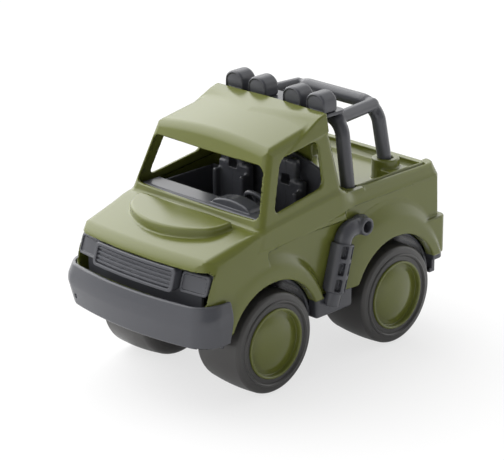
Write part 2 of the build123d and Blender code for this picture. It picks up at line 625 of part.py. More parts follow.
def chassis():
    """Floor pan with sills, wheel wells, rod bearings, the grille's carrier and the rear strip."""
    front = FRONT_Y + NOSE_SETBACK + 10
    rear = REAR_Y - 7
    top = PLATE_Z + PLATE_THICK
    nose_top = NOSE_PLATE_Z + PLATE_THICK
    sill_front = FRONT_AXLE_Y + ARCH_R
    sill_rear = REAR_AXLE_Y - ARCH_R
    nose_rear = FRONT_AXLE_Y - ARCH_R - 0.5
    shape = slab(PLATE_WAIST, nose_rear, rear, PLATE_Z, top)
    shape = shape + slab(SILL_HALF, sill_front, sill_rear, PLATE_Z, top)
    shape = shape + slab(BODY_HALF - 7, front, nose_rear, NOSE_PLATE_Z, nose_top)
    shape = shape + slab(PLATE_WAIST - LINER_WALL - SEAT_GAP, nose_rear, nose_rear + 3, PLATE_Z, nose_top)
    shape = shape + slab(BODY_HALF - 4, rear - TAIL_PLATE, rear, PLATE_Z, top)
    sill = slab(SILL_HALF, sill_front, sill_rear, PLATE_Z, BODY_BOTTOM_Z)
    shape = shape + (sill - slab(SILL_HALF - SILL_WIDTH, sill_front - 1, sill_rear + 1, PLATE_Z - 1, BODY_BOTTOM_Z + 1))
    behind = -HEADLAMP_SETBACK - HEADLAMP_THICK - SEAT_GAP
    shape = shape + front_plate(-CARRIER_HALF, CARRIER_HALF, NOSE_PLATE_Z, GRILLE_HEAD_Z - 1.6, CARRIER_THICK, behind)
    strip_face = plan(PLATE_Z + 9, REAR_Y - TAIL_STRIP, REAR_Y - 0.8, REAR_BUMPER_HALF - 0.6, 0.01, 0.5, 6.0)
    shape = shape + extrude(strip_face, BODY_BOTTOM_Z - PLATE_Z - 9)
    shape = shape + slab(BODY_HALF - 4, rear - 3, rear, PLATE_Z, PLATE_Z + 10)
    for x, y in post_spots():
        shape = shape + Pos(x, y, (PLATE_Z + TUB_FLOOR_Z) / 2) * Box(POST, POST, TUB_FLOOR_Z - PLATE_Z)
    bearing_x = PLATE_WAIST - BEARING_THICK / 2
    for axle_y in AXLE_YS:
        for side in (-1, 1):
            high = PLATE_Z + PLATE_THICK / 2
            block = Pos(side * bearing_x, axle_y, (AXLE_Z + high) / 2) * Box(
                BEARING_THICK, 2 * BEARING_R, high - AXLE_Z)
            round_end = Pos(side * bearing_x, axle_y, AXLE_Z) * (Rot(0, 90, 0) * Cylinder(BEARING_R, BEARING_THICK))
            shape = shape + block + round_end
        shape = shape - Pos(0, axle_y, AXLE_Z) * (Rot(0, 90, 0) * Cylinder(AXLE_R + RUN_GAP, 2 * PLATE_WAIST + 6))
    return shape


def tub_ends():
    return COWL_Y + 9.0, CAB_REAR_Y - WALL - 4.6


def cabin_tub():
    """The dark interior tray: floor, sides up to the window sills and a back panel."""
    front, rear = tub_ends()
    tub = slab(TUB_HALF, front, rear, TUB_FLOOR_Z, TUB_RIM_Z)
    tub = tub - slab(TUB_HALF - TRIM_WALL, front + TRIM_WALL, rear - TRIM_WALL, TUB_FLOOR_Z + TRIM_WALL, TUB_RIM_Z + 1)
    half = TUB_HALF - 8
    low = TUB_RIM_Z - 4
    back_face = closed(
        Line((-half, low), (half, low)), Line((half, low), (half, SEAT_TOP_Z - 6)),
        ThreePointArc((half, SEAT_TOP_Z - 6), (0, SEAT_TOP_Z + 2), (-half, SEAT_TOP_Z - 6)),
        Line((-half, SEAT_TOP_Z - 6), (-half, low)))
    panel = Pos(0, rear - TRIM_WALL / 2, 0) * extrude(Plane.XZ * back_face, TRIM_WALL / 2, both=True)
    return tub + panel


def dash_rear_y():
    return tub_ends()[0] + DASH_DEPTH


def dashboard():
    """Top pad resting on the tray's rim, its rear face and the instrument hood on the driver's side."""
    front = tub_ends()[0] - 1.0
    rear = dash_rear_y()
    top = TUB_RIM_Z + DASH_TOP
    face = Plane.YZ * make_face(Polyline(
        (front, TUB_RIM_Z), (front + 1.5, top), (rear - 2.5, top), (rear, TUB_RIM_Z), close=True))
    pad = extrude(face, TUB_HALF, both=True)
    lip = slab(TUB_HALF - TRIM_WALL - SEAT_GAP, rear - 4, rear, TUB_RIM_Z - 13, TUB_RIM_Z)
    hood_face = closed(
        Line((-17, top - 1), (17, top - 1)), Line((17, top - 1), (14, top + 2.5)),
        ThreePointArc((14, top + 2.5), (0, top + 5), (-14, top + 2.5)), Line((-14, top + 2.5), (-17, top - 1)))
    hood = Pos(SEAT_X, (front + rear) / 2 + 1, 0) * extrude(Plane.XZ * hood_face, 5.5, both=True)
    return pad + lip + hood - column(COLUMN_R + SEAT_GAP)


def wheel_plane():
    tilt = radians(WHEEL_TILT)
    return Plane(origin=(SEAT_X, dash_rear_y() + WHEEL_REACH, TUB_RIM_Z - 1.5), x_dir=(1, 0, 0), z_dir=(0, cos(tilt), sin(tilt)))


def column(radius):
    length = (WHEEL_REACH + 2.0) / cos(radians(WHEEL_TILT))
    return wheel_plane() * (Pos(0, 0, -length / 2) * Cylinder(radius, length))


def seat(side):
    """A bucket seat: cushion, bolstered back and a slot under the headrest."""
    y = CAB_REAR_Y - 18.5
    half = SEAT_WIDTH / 2
    foot = TUB_FLOOR_Z + TRIM_WALL
    cushion = Pos(0, y - 12, foot + CUSHION / 2) * Box(SEAT_WIDTH, 26, CUSHION)
    low = SEAT_TOP_Z - 13
    back_face = closed(
        Line((-half, foot), (half, foot)), Line((half, foot), (half - 1, low)),
        ThreePointArc((half - 1, low), (half - 4, low + 3), (half - 6, low + 6)),
        ThreePointArc((half - 6, low + 6), (0, SEAT_TOP_Z), (6 - half, low + 6)),
        ThreePointArc((6 - half, low + 6), (4 - half, low + 3), (1 - half, low)),
        Line((1 - half, low), (-half, foot)))
    back = Pos(0, y + 3, 0) * extrude(Plane.XZ * back_face, 3, both=True)
    slot = Pos(0, y + 3, low - 0.5) * Box(7, 20, 6)
    bolsters = None
    for s in (-1, 1):
        bolster = Pos(s * (half - 1.5), y - 2, foot + CUSHION + 9) * Box(3, 7, 20)
        bolsters = bolster if bolsters is None else bolsters + bolster
    return Pos(side * SEAT_X, 0, 0) * (cushion + back + bolsters - slot)


def steering_wheel():
    """Rim, spokes and a column that plugs into the dashboard."""
    wheel = Torus(9.5, 1.5) + Box(19, 3, 2) + Pos(0, -5, 0) * Box(3, 9, 2) + Cylinder(3.2, 3)
    return wheel_plane() * wheel + column(COLUMN_R)


def tube_between(points, radius, bend):
    """A round tube along straight runs joined by arcs."""
    path = FilletPolyline(*points, radius=bend)
    start = Plane(origin=path @ 0, z_dir=path % 0)
    return sweep(start * Circle(radius), path=path)


def roll_bar(grow=0.0):
    """Front hoop, side tubes and rear hoop."""
    (fx, fy, fz), (rx, ry, rz) = bar_feet()
    foot = fz - BAR_PLUG
    hoop = [(fx, fy, foot), (BAR_FRONT_TOP_X, fy, BAR_TOP_Z), (-BAR_FRONT_TOP_X, fy, BAR_TOP_Z), (-fx, fy, foot)]
    rear_top = ry - BAR_REAR_RAKE
    rear = [(rx, ry, rz - BAR_PLUG), (BAR_REAR_X, rear_top, BAR_TOP_Z), (-BAR_REAR_X, rear_top, BAR_TOP_Z),
            (-rx, ry, rz - BAR_PLUG)]
    bar = tube_between(hoop, BAR_R + grow, BAR_BEND_R) + tube_between(rear, BAR_R + grow, BAR_BEND_R)
    for side in (-1, 1):
        start = Vector(side * (BAR_FRONT_TOP_X - 2.6), fy + 1, BAR_TOP_Z - 0.6)
        end = Vector(side * (BAR_REAR_X - 2.6), rear_top - 1, BAR_TOP_Z - 0.6)
        run = end - start
        tube = Plane(origin=start, z_dir=run) * (Pos(0, 0, run.length / 2) * Cylinder(BAR_R * 0.94 + grow, run.length))
        bar = bar + tube
    return bar


def lamp_front_y(z):
    """Just behind the cab's leaning rear wall."""
    return CAB_REAR_Y - BACK_LEAN * (z - CAB_FOOT_Z) + SEAT_GAP


def lamp_tray():
    """Thin tray behind the roof's rear edge, on webs from the hoop."""
    rear = CAB_REAR_Y + BAR_FRONT_BEHIND_CAB
    front = lamp_front_y(TRAY_Z)
    plate = Pos(0, (front + rear) / 2, TRAY_Z + LAMP_TRAY_THICK / 2) * Box(
        2 * LAMP_TRAY_HALF, rear - front, LAMP_TRAY_THICK)
    plate = fillet(plate.edges().filter_by(Axis.Z), 4)
    webs = None
    for x in LAMP_XS:
        web = Pos(x, rear - 2, (TRAY_Z + BAR_TOP_Z) / 2 + 1) * Box(6, 4, TRAY_Z - BAR_TOP_Z + 2)
        webs = web if webs is None else webs + web
    tube = Pos(0, rear, BAR_TOP_Z) * (Rot(0, 90, 0) * Cylinder(BAR_R + SEAT_GAP, 3 * LAMP_TRAY_HALF))
    return plate + webs - tube


def roof_lamp(x):
    """A rounded-top lamp body with a rim round its face."""
    half = LAMP_WIDTH / 2
    foot = TRAY_Z + LAMP_TRAY_THICK
    front = lamp_front_y(foot)

    def outline(inset):
        face = closed(
            Line((-half + inset, foot + inset), (half - inset, foot + inset)),
            Line((half - inset, foot + inset), (half - inset, foot + LAMP_HEIGHT * 0.55)),
            ThreePointArc((half - inset, foot + LAMP_HEIGHT * 0.55), (0, foot + LAMP_HEIGHT - inset),
                          (-half + inset, foot + LAMP_HEIGHT * 0.55)),
            Line((-half + inset, foot + LAMP_HEIGHT * 0.55), (-half + inset, foot + inset)))
        return Plane.XZ * face

    body = Pos(0, front, 0) * extrude(outline(0), -LAMP_DEPTH)
    recess = Pos(0, front, 0) * extrude(outline(1.6), 0.8, both=True)
    return Pos(x, 0, 0) * (body - recess)


def stack_axis_y(z):
    middle = (FRONT_AXLE_Y + REAR_AXLE_Y) / 2
    return middle - STACK_FOOT_AHEAD + STACK_LEAN * (z - STACK_FOOT_Z)


def exhaust(side):
    """Leaning slotted heat shield with the bent outlet above and the pipe's end below."""
    low = Vector(STACK_X, stack_axis_y(STACK_FOOT_Z), STACK_FOOT_Z)
    high = Vector(STACK_X, stack_axis_y(STACK_HEAD_Z), STACK_HEAD_Z)
    run = high - low
    shield_plane = Plane(origin=low, z_dir=run, x_dir=(1, 0, 0))
    shield = shield_plane * (Pos(0, 0, run.length / 2) * Cylinder(STACK_R, run.length))
    pipe_r = STACK_R - 2.0
    top = high + run.normalized() * 7
    elbow = tube_between([
        tuple(low - run.normalized() * 8.5), tuple(top), (STACK_X, top.Y + 17, top.Z + 1.0)], pipe_r, 8.0)
    tip = Pos(STACK_X + 1.5, top.Y + 13, top.Z + 0.8) * (Rot(0, 90, 0) * Cylinder(pipe_r, 11))
    hole = Pos(STACK_X + 4, top.Y + 13, top.Z + 0.8) * (Rot(0, 90, 0) * Cylinder(pipe_r - 2.0, 10))
    shape = shield + elbow + tip
    slot_height = 7.0
    pitch = run.length / 3
    for angle in (-28, 28):
        for i in range(3):
            at = shield_plane * (Rot(0, 0, angle) * (Pos(STACK_R, 0, pitch * (i + 0.5)) * Box(4, 3.6, slot_height)))
            shape = shape - at
    shape = shape - hole
    shape = shape - skin(SEAT_GAP)
    shape = shape - slab(SILL_HALF + SEAT_GAP, FRONT_AXLE_Y, REAR_AXLE_Y, PLATE_Z - 10, BODY_BOTTOM_Z + 5)
    return shape if side > 0 else mirror(shape, Plane.YZ)


def save(node, shape):
    shape = shape if isinstance(shape, Solid) else Compound(children=list(shape.solids()))
    shape.label = node
    export_step(shape, "parts/" + node + ".step")


save("body_shell", body_shell())
save("chassis", chassis())
save("front_bumper", front_bumper())
save("grille", grille())
save("cabin_tub", cabin_tub())
save("dashboard", dashboard())
save("steering_wheel", steering_wheel())
save("roll_bar", roll_bar())
save("lamp_tray", lamp_tray())
for number, lamp_x in enumerate(LAMP_XS, 1):
    save("roof_lamp_" + str(number), roof_lamp(lamp_x))
for side_name, side in (("left", 1), ("right", -1)):
    save("headlamp_" + side_name, headlamp(side))
    save("seat_" + side_name, seat(side))
    save("exhaust_" + side_name, exhaust(side))
for end_name, axle_y in (("front", FRONT_AXLE_Y), ("rear", REAR_AXLE_Y)):
    save(end_name + "_axle", axle(axle_y))
    for side_name, side in (("left", 1), ("right", -1)):
        save("wheel_liner_" + end_name + "_" + side_name, wheel_liner(axle_y, side))
        save("tyre_" + end_name + "_" + side_name, wheel_part(tyre_profile(), side, axle_y))
        save("hub_" + end_name + "_" + side_name, wheel_part(hub_profile(), side, axle_y))
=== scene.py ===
"""Moulded plastic toy pickup: the looks of every piece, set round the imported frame.

Lengths inside this file are millimetres until a mesh is written, and metres in Blender.
The front faces -Y, the toy's left side is +X and the floor is Z = 0.
"""
import functools
import math

import bpy
import numpy as np
from bpy.props import (FloatProperty, FloatVectorProperty, IntProperty, PointerProperty)
from mathutils import Matrix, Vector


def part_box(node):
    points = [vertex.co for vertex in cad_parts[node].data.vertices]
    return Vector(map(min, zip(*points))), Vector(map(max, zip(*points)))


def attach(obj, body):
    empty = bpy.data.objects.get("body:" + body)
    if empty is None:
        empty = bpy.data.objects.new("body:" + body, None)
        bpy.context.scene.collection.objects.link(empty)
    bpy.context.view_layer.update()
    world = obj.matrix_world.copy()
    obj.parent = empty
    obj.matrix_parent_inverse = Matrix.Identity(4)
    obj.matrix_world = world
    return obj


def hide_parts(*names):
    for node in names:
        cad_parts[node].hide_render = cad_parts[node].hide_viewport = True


bl_info = {
    "name": "Toy pickup",
    "version": (1, 0, 0),
    "blender": (4, 5, 0),
    "location": "View3D > Sidebar > Toy pickup",
    "description": "Builds a moulded plastic toy pickup piece by piece round its packed frame",
    "category": "Object",
}

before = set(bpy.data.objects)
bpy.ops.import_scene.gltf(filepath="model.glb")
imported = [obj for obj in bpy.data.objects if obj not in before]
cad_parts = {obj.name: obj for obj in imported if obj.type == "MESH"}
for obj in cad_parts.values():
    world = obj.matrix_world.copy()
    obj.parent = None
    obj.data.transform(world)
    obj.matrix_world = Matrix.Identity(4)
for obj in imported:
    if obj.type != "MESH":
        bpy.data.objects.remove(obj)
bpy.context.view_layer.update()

METRE = 1000.0                  # millimetres in a metre


def span(*nodes):
    """Lowest and highest corner of the frame's nodes together, in millimetres."""
    corners = [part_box(node) for node in nodes]
    low = np.min([low for low, _ in corners], axis=0)
    high = np.max([high for _, high in corners], axis=0)
    return low * METRE, high * METRE


def middle(node):
    """Middle of a frame node's box, in millimetres."""
    low, high = span(node)
    return (low + high) / 2


# Layout, read from the frame
BODY_LOW, BODY_HIGH = span("body_shell")
AXLES = {"front": middle("front_axle"), "rear": middle("rear_axle")}
AXLE_Z = AXLES["front"][2]
FRONT_AXLE_Y = AXLES["front"][1]
REAR_AXLE_Y = AXLES["rear"][1]
FRONT_Y = span("front_bumper")[0][1]
REAR_Y = BODY_HIGH[1]
BODY_FOOT_Z = BODY_LOW[2]
FLARE_X = BODY_HIGH[0]
BODY_HALF = FLARE_X - 1.1       # half width of the green body at its foot
DOOR_HALF = BODY_HALF - 3.7     # door panels, recessed between and behind the flares
COWL_Y = FRONT_AXLE_Y - 13.0    # foot of the windscreen
CAB_REAR_Y = COWL_Y + 77.5
TAIL_Y = REAR_Y - 4.0
WALL = 2.2                      # green moulding
TRIM_WALL = 2.4                 # dark mouldings
FIT_GAP = 0.3                   # between a dark moulding and the green body
ARCH_Z = AXLE_Z + 1.0
ARCH_R = 37.5
BED_Z = 106.0                   # top of the bed's side rims
BED_HALF = BODY_HALF - 6.0
BUMPER_LOW, BUMPER_HIGH = span("front_bumper")
TUB_LOW, TUB_HIGH = span("cabin_tub")
DASH_LOW, DASH_HIGH = span("dashboard")


# Forms: each field gives the depth of points inside a solid in millimetres, below zero inside

def meet(radius, *fields):
    """The solid that all fields share, its outer edges rounded."""
    lifted = [np.maximum(field + radius, 0) for field in fields]
    edge = np.sqrt(sum(field * field for field in lifted)) - radius
    return edge + np.minimum(functools.reduce(np.maximum, fields) + radius, 0)


def join(radius, *fields):
    """The solid made of all fields, its inner corners filleted."""
    return -meet(radius, *[-field for field in fields])


def cut(radius, solid, *tools):
    """The solid less its tools, the new edges rounded."""
    return meet(radius, solid, *[-tool for tool in tools])


def block(x, y, z, low, high, radius):
    """A box with rounded edges."""
    return meet(radius, low[0] - x, x - high[0], low[1] - y, y - high[1], low[2] - z, z - high[2])


def polygon(radius, u, v, points):
    """A convex outline with rounded corners; its points go round anticlockwise, u to v."""
    sides = []
    for (u0, v0), (u1, v1) in zip(points, points[1:] + points[:1]):
        du, dv = u1 - u0, v1 - v0
        sides.append(((u - u0) * dv - (v - v0) * du) / math.hypot(du, dv))
    return meet(radius, *sides)


def oblong(x, z, low, high, radius):
    """A rectangle with rounded corners, seen from the front."""
    return meet(radius, low[0] - x, x - high[0], low[1] - z, z - high[1])


def rod(x, y, z, start, end, radius):
    """A round-ended straight bar."""
    run = np.subtract(end, start)
    along = ((x - start[0]) * run[0] + (y - start[1]) * run[1] + (z - start[2]) * run[2]) / (run @ run)
    along = np.clip(along, 0, 1)
    return np.sqrt((x - start[0] - along * run[0]) ** 2 + (y - start[1] - along * run[1]) ** 2
                   + (z - start[2] - along * run[2]) ** 2) - radius


def bent(points, radius, steps=8):
    """The points of a path whose corners are arcs of one radius."""
    points = [np.array(p, float) for p in points]
    path = [points[0]]
    for a, b, c in zip(points, points[1:], points[2:]):
        p, q = (a - b) / np.linalg.norm(a - b), (c - b) / np.linalg.norm(c - b)
        half = math.acos(np.clip(p @ q, -1, 1)) / 2
        reach = radius / math.tan(half)
        bisector = (p + q) / np.linalg.norm(p + q)
        centre = b + bisector * radius / math.sin(half)
        first, last = b + p * reach - centre, b + q * reach - centre
        turn = math.pi - 2 * half
        for i in range(steps + 1):
            t = i / steps
            spoke = math.sin((1 - t) * turn) * first + math.sin(t * turn) * last
            path.append(centre + spoke / math.sin(turn))
    return path + [points[-1]]


def pipe(x, y, z, path, radius):
    """A round bar along a path."""
    parts = [rod(x, y, z, a, b, radius) for a, b in zip(path, path[1:])]
    return functools.reduce(np.minimum, parts)


def soft(at, where, values, spread=2.5):
    """A table's value along the toy, with its kinks eased."""
    flat = [np.interp(at + shift * spread, where, values) for shift in (-1, 0, 1)]
    return ((flat[0] + flat[1] * 2 + flat[2]) / 4).astype(at.dtype)


# Meshes from fields

CORNERS = [(i, j, k) for i in (0, 1) for j in (0, 1) for k in (0, 1)]


def net(depth):
    """Points and four-sided faces of a grid's zero surface, in grid steps."""
    inside = depth < 0
    shape = [n - 1 for n in depth.shape]
    count = np.zeros(shape, np.int8)
    for i, j, k in CORNERS:
        count += inside[i:i + shape[0], j:j + shape[1], k:k + shape[2]]
    active = (count > 0) & (count < 8)
    index = np.full(shape, -1, np.int32)
    index[active] = np.arange(np.count_nonzero(active))
    cells = np.argwhere(active)
    total = np.zeros((len(cells), 3))
    crossings = np.zeros(len(cells))
    for axis in range(3):
        along = np.eye(3, dtype=int)[axis]
        for corner in CORNERS:
            if corner[axis]:
                continue
            start = cells + corner
            a = depth[tuple(start.T)]
            b = depth[tuple((start + along).T)]
            crossed = (a < 0) != (b < 0)
            share = a[crossed] / (a[crossed] - b[crossed])
            total[crossed] += start[crossed] + share[:, None] * along
            crossings[crossed] += 1
    points = total / crossings[:, None]
    faces = []
    for axis in range(3):
        u, v = np.eye(3, dtype=int)[(axis + 1) % 3], np.eye(3, dtype=int)[(axis + 2) % 3]
        first = np.take(inside, range(inside.shape[axis] - 1), axis)
        last = np.take(inside, range(1, inside.shape[axis]), axis)
        edges = np.argwhere(first != last)
        solid = first[tuple(edges.T)]
        ring = np.stack([index[tuple((edges + shift).T)] for shift in (-u - v, -v, 0 * u, -u)], 1)
        ring[~solid] = ring[~solid][:, ::-1]
        faces.append(ring)
    return points, np.concatenate(faces)


def slope(field, points, reach=0.02):
    """The field and its direction of steepest growth at scattered points."""
    x, y, z = points.T
    here = field(x, y, z)
    rise = np.stack([
        (field(x + reach * dx, y + reach * dy, z + reach * dz)
         - field(x - reach * dx, y - reach * dy, z - reach * dz)) / (2 * reach)
        for dx, dy, dz in np.eye(3)], 1)
    return here, rise


def settle(points, field, limit, rounds=3):
    """Draw points onto the exact surface and give its outward directions there."""
    for _ in range(rounds):
        here, rise = slope(field, points)
        steep = np.maximum((rise * rise).sum(1), 0.05)
        move = np.clip(here / steep, -limit, limit)[:, None] * rise
        points = points - move
    _, rise = slope(field, points)
    return points, rise / np.maximum(np.linalg.norm(rise, axis=1), 1e-6)[:, None]


def mesh_of(name, points, faces):
    """A smooth mesh in metres from millimetre points and faces of one size."""
    mesh = bpy.data.meshes.new(name)
    mesh.vertices.add(len(points))
    mesh.vertices.foreach_set("co", (points / METRE).astype(np.float32).ravel())
    size = faces.shape[1]
    mesh.loops.add(faces.size)
    mesh.loops.foreach_set("vertex_index", faces.astype(np.int32).ravel())
    mesh.polygons.add(len(faces))
    mesh.polygons.foreach_set("loop_start", np.arange(0, faces.size, size, dtype=np.int32))
    mesh.update(calc_edges=True)
    mesh.validate()
    mesh.shade_smooth()
    return mesh


def thinned(mesh, share):
    """The mesh with only a share of its triangles, fewest where it is flat."""
    holder = bpy.data.objects.new("thinning", mesh)
    bpy.context.scene.collection.objects.link(holder)
    fewer = holder.modifiers.new("Fewer triangles", "DECIMATE")
    fewer.ratio = share
    result = bpy.data.meshes.new_from_object(holder.evaluated_get(bpy.context.evaluated_depsgraph_get()))
    bpy.data.objects.remove(holder)
    bpy.data.meshes.remove(mesh)
    return result


def add_piece(name, mesh, material, slot, body, *nodes):
    """Put a finished mesh in the scene in place of the frame's nodes."""
    piece = bpy.data.objects.new(name, mesh)
    bpy.context.scene.collection.objects.link(piece)
    mesh.materials.append(material)
    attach(piece, body)
    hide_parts(*nodes)
    return piece


def moulding(name, field, low, high, step, triangles):
    """The mesh of a field between two corners, on a grid of the given step."""
    low = np.array(low, float) - 1.5 * step
    axes = [np.arange(a, b + 2.5 * step, step, dtype=np.float32) for a, b in zip(low, high)]
    x, y, z = np.meshgrid(*axes, indexing="ij", sparse=True)
    depth = np.broadcast_to(field(x, y, z), [len(a) for a in axes])
    points, faces = net(depth)
    points, _ = settle(low + points * step, field, step / 2, rounds=2)
    mesh = mesh_of(name, points, faces)
    if 2 * len(faces) > triangles:
        mesh = thinned(mesh, triangles / (2 * len(faces)))
    points = np.empty(len(mesh.vertices) * 3, np.float32)
    mesh.vertices.foreach_get("co", points)
    points, outward = settle(points.reshape(-1, 3).astype(float) * METRE, field, step / 3)
    mesh.vertices.foreach_set("co", (points / METRE).astype(np.float32).ravel())
    mesh.shade_smooth()
    mesh.normals_split_custom_set_from_vertices(outward.tolist())
    mesh.update()
    return mesh


def turned(name, outline, turns):
    """A solid of revolution about X from (x, radius) points that run round it once."""
    outline = np.array(outline, float)
    angle = np.linspace(0, 2 * math.pi, turns, endpoint=False)
    points = np.stack([
        np.repeat(outline[:, 0], turns), np.outer(outline[:, 1], np.cos(angle)).ravel(),
        np.outer(outline[:, 1], np.sin(angle)).ravel()], 1)
    rows, columns = len(outline), np.arange(turns)
    faces = []
    for row in range(rows):
        here, after = row * turns, (row + 1) % rows * turns
        following = (columns + 1) % turns
        faces.append(np.stack([here + columns, here + following, after + following, after + columns], 1))
    return mesh_of(name, points, np.concatenate(faces))


# Body form: stations along the toy, each (y, crease x, crease z, top edge x, top edge z, crown)
STATIONS = np.array([
    (FRONT_Y - 4, BODY_HALF - 2.9, 80.7, BODY_HALF - 6.9, 87.5, 1.5),
    (COWL_Y, BODY_HALF - 0.5, 88.5, BODY_HALF - 1.5, 101.5, 2.0),
    (CAB_REAR_Y - 3, BODY_HALF - 0.5, 98.0, BODY_HALF - 2.5, 110.3, 0.6),
    (CAB_REAR_Y + 6, BODY_HALF - 1.5, 99.0, BED_HALF, BED_Z, 0.4),
    (REAR_Y + 4, BODY_HALF - 2.0, 99.5, BED_HALF - 0.5, BED_Z - 0.5, 0.4),
])
CREASE_STEP = 1.3               # the panel's step below the belt crease
CREASE_R = 1.2
DOOR_FRONT_Y = FRONT_AXLE_Y - 3.5       # where the recessed panels start
DOOR_EDGE_R = 0.6
DOOR_STEP_R = 0.5
NOSE_Y = FRONT_Y + 6.0
NOSE_FOOT_Z = 73.5              # the nose stands upright below this
NOSE_LEAN = 0.31
NOSE_BOW = 5.5
NOSE_CORNER_R = 9.0
NOSE_EDGE_R = 4.5               # nose to bonnet
BONNET_EDGE_R = 4.5             # bonnet to wings
RIM_EDGE_R = 2.0                # outer edge of the bed's rims
CAB_CORNER_R = 5.0
TAIL_CORNER_R = 8.0
TAIL_EDGE_R = 1.2
BROW_EASE = 12.0                # bonnet edges change to rim edges this far about the cowl
CAB_FOOT_Z = 99.5
CAB_FOOT_HALF = BODY_HALF - 2.1
CAB_ROOT = 8.0                  # how deep the cab reaches into the body
CAB_SIDE_LEAN = 0.195
SCREEN_LEAN = 0.372
SCREEN_SETBACK = 0.6            # the windscreen's foot behind the cowl line
SCREEN_BOW = 2.0
BACK_LEAN = 0.118
ROOF_FRONT_Z = 144.0
ROOF_RISE = 0.175
ROOF_CROWN = 3.6
ROOF_HALF = CAB_FOOT_HALF - 9.4
ROOF_EDGE_R = 4.0
ROOF_BACK_R = 2.4
PAD_HALF = ROOF_HALF - 0.6
PAD_RISE = 3.4
PAD_CROWN = 0.4
PAD_EDGE_R = 1.0
PAD_REAR_IN = 1.2               # ahead of the cab's rear edge
PAD_ROOT = 8.0                  # how deep it reaches into the roof
PAD_TIP = (15.6, 55.0)          # where its front facets start: across, behind the cowl
PAD_FACET_FALL = 0.105          # how they fall outwards
PAD_FACET_RISE = 0.31           # and rise to the rear
FLARES = (     # axle y, crest centre behind the axle, its height, its radius
    (FRONT_AXLE_Y, -3.5, 39.5, 47.5),
    (REAR_AXLE_Y, -7.0, 42.5, 50.0),
)
FLARE_LIP_R = ARCH_R + 7.2      # edge between a flare's upward bevel and its flat lip
FLARE_EDGE_R = 2.0
FLARE_NARROW = 1.5              # least width of the bevel
FLARE_TUCK = 0.6                # how far the bevel runs on into the panel
SCOOP_REAR_Y = COWL_Y - 2.0
SCOOP_HALF = BODY_HALF - 18.5
SCOOP_LENGTH = 25.5
SCOOP_SIDE = 9.0                # straight part of its sides
SCOOP_REAR_Z = 105.9
SCOOP_FRONT_Z = 101.6
SCOOP_EDGE_R = 1.8
SCOOP_CORNER_R = 8.0
SCOOP_CROWN = 1.0
SCOOP_CROWN_HALF = SCOOP_HALF + 5.0     # where its crown would run out
SCOOP_ROOT_Z = 90.0             # inside the bonnet
REAR_BLOCK_HALF = BODY_HALF - 0.5
REAR_BLOCK_TOP_Z = 71.5
REAR_BLOCK_DEPTH = 24.0
REAR_BLOCK_CORNER_R = 6.0
REAR_BLOCK_EDGE_R = 1.0
TRAY_HALF = BED_HALF - 6.5
TRAY_FRONT_Y = CAB_REAR_Y + 7.5
TRAY_REAR_Y = TAIL_Y - 4.6
TRAY_FLOOR_Z = BED_Z - 8.0
TRAY_CORNER_R = 5.0
GROOVE_X = (46.6, 48.6)         # groove along each side rim, inner and outer edge
GROOVE_DEPTH = 1.8
TAILGATE_DROP = 2.6             # dip of the rim between the tailgate's ends
BOSS_X = TRAY_HALF - 10.8
BOSS_Y = TAIL_Y - 29.5
BOSS_R = 8.6
BOSS_Z = 111.5
BOSS_ROOT_Z = 95.0              # inside the bed's floor
BOSS_EDGE_R = 0.9
FOOT_PAD_EDGE_R = 0.8
FOOT_PAD = (6.5, 8.5, 9.5, 5.5)     # pad round a front foot: inwards, outwards, ahead, behind
BAR_R = 4.4
BAR_FOOT_X = TRAY_HALF - 1.0
BAR_FRONT_Y = CAB_REAR_Y + 13.0
SOCKET_R = BAR_R + 0.35
SOCKET_DEPTH = 3.0
SIDE_WINDOW = ((17.0, 108.5), (60.0, 115.0), (60.0, 142.5), (28.0, 138.5))      # behind the cowl, height
SIDE_WINDOW_R = 4.2
SCREEN_SILL = (CAB_FOOT_HALF - 4.4, 107.3)      # half width, height
SCREEN_HEAD = (CAB_FOOT_HALF - 10.4, 136.6)
SCREEN_R = 4.0
BACK_WINDOW = (CAB_FOOT_HALF - 24.9, CAB_FOOT_HALF - 15.4, 114.5, 134.5)        # inner, outer, foot, head
BACK_WINDOW_R = 2.5
NOSE_HOLE = (BODY_HALF - 3.3, 67.5, 87.2)       # half width, foot, head
NOSE_HOLE_R = 3.0
NOSE_HOLE_DEPTH = 23.0
WINDOW_CUT_X = 25.0             # a side window is cut from outside to here
SCREEN_CUT = 30.0               # depth of the windscreen's cut behind the cowl line
BACK_CUT = 14.0                 # and of the back windows' cut ahead of the cab's rear
FILLET_R = 0.8                  # where the shell's forms run into each other
CAB_FILLET_R = 1.5
PAD_FILLET_R = 1.0
SHELL_EDGE_R = 0.5
OPENING_EDGE_R = 0.7
SOCKET_EDGE_R = 0.3


def lean(rise):
    """Shortens a difference in one axis to a distance, for a face that leans by that rise."""
    return 1 / math.sqrt(1 + rise * rise)


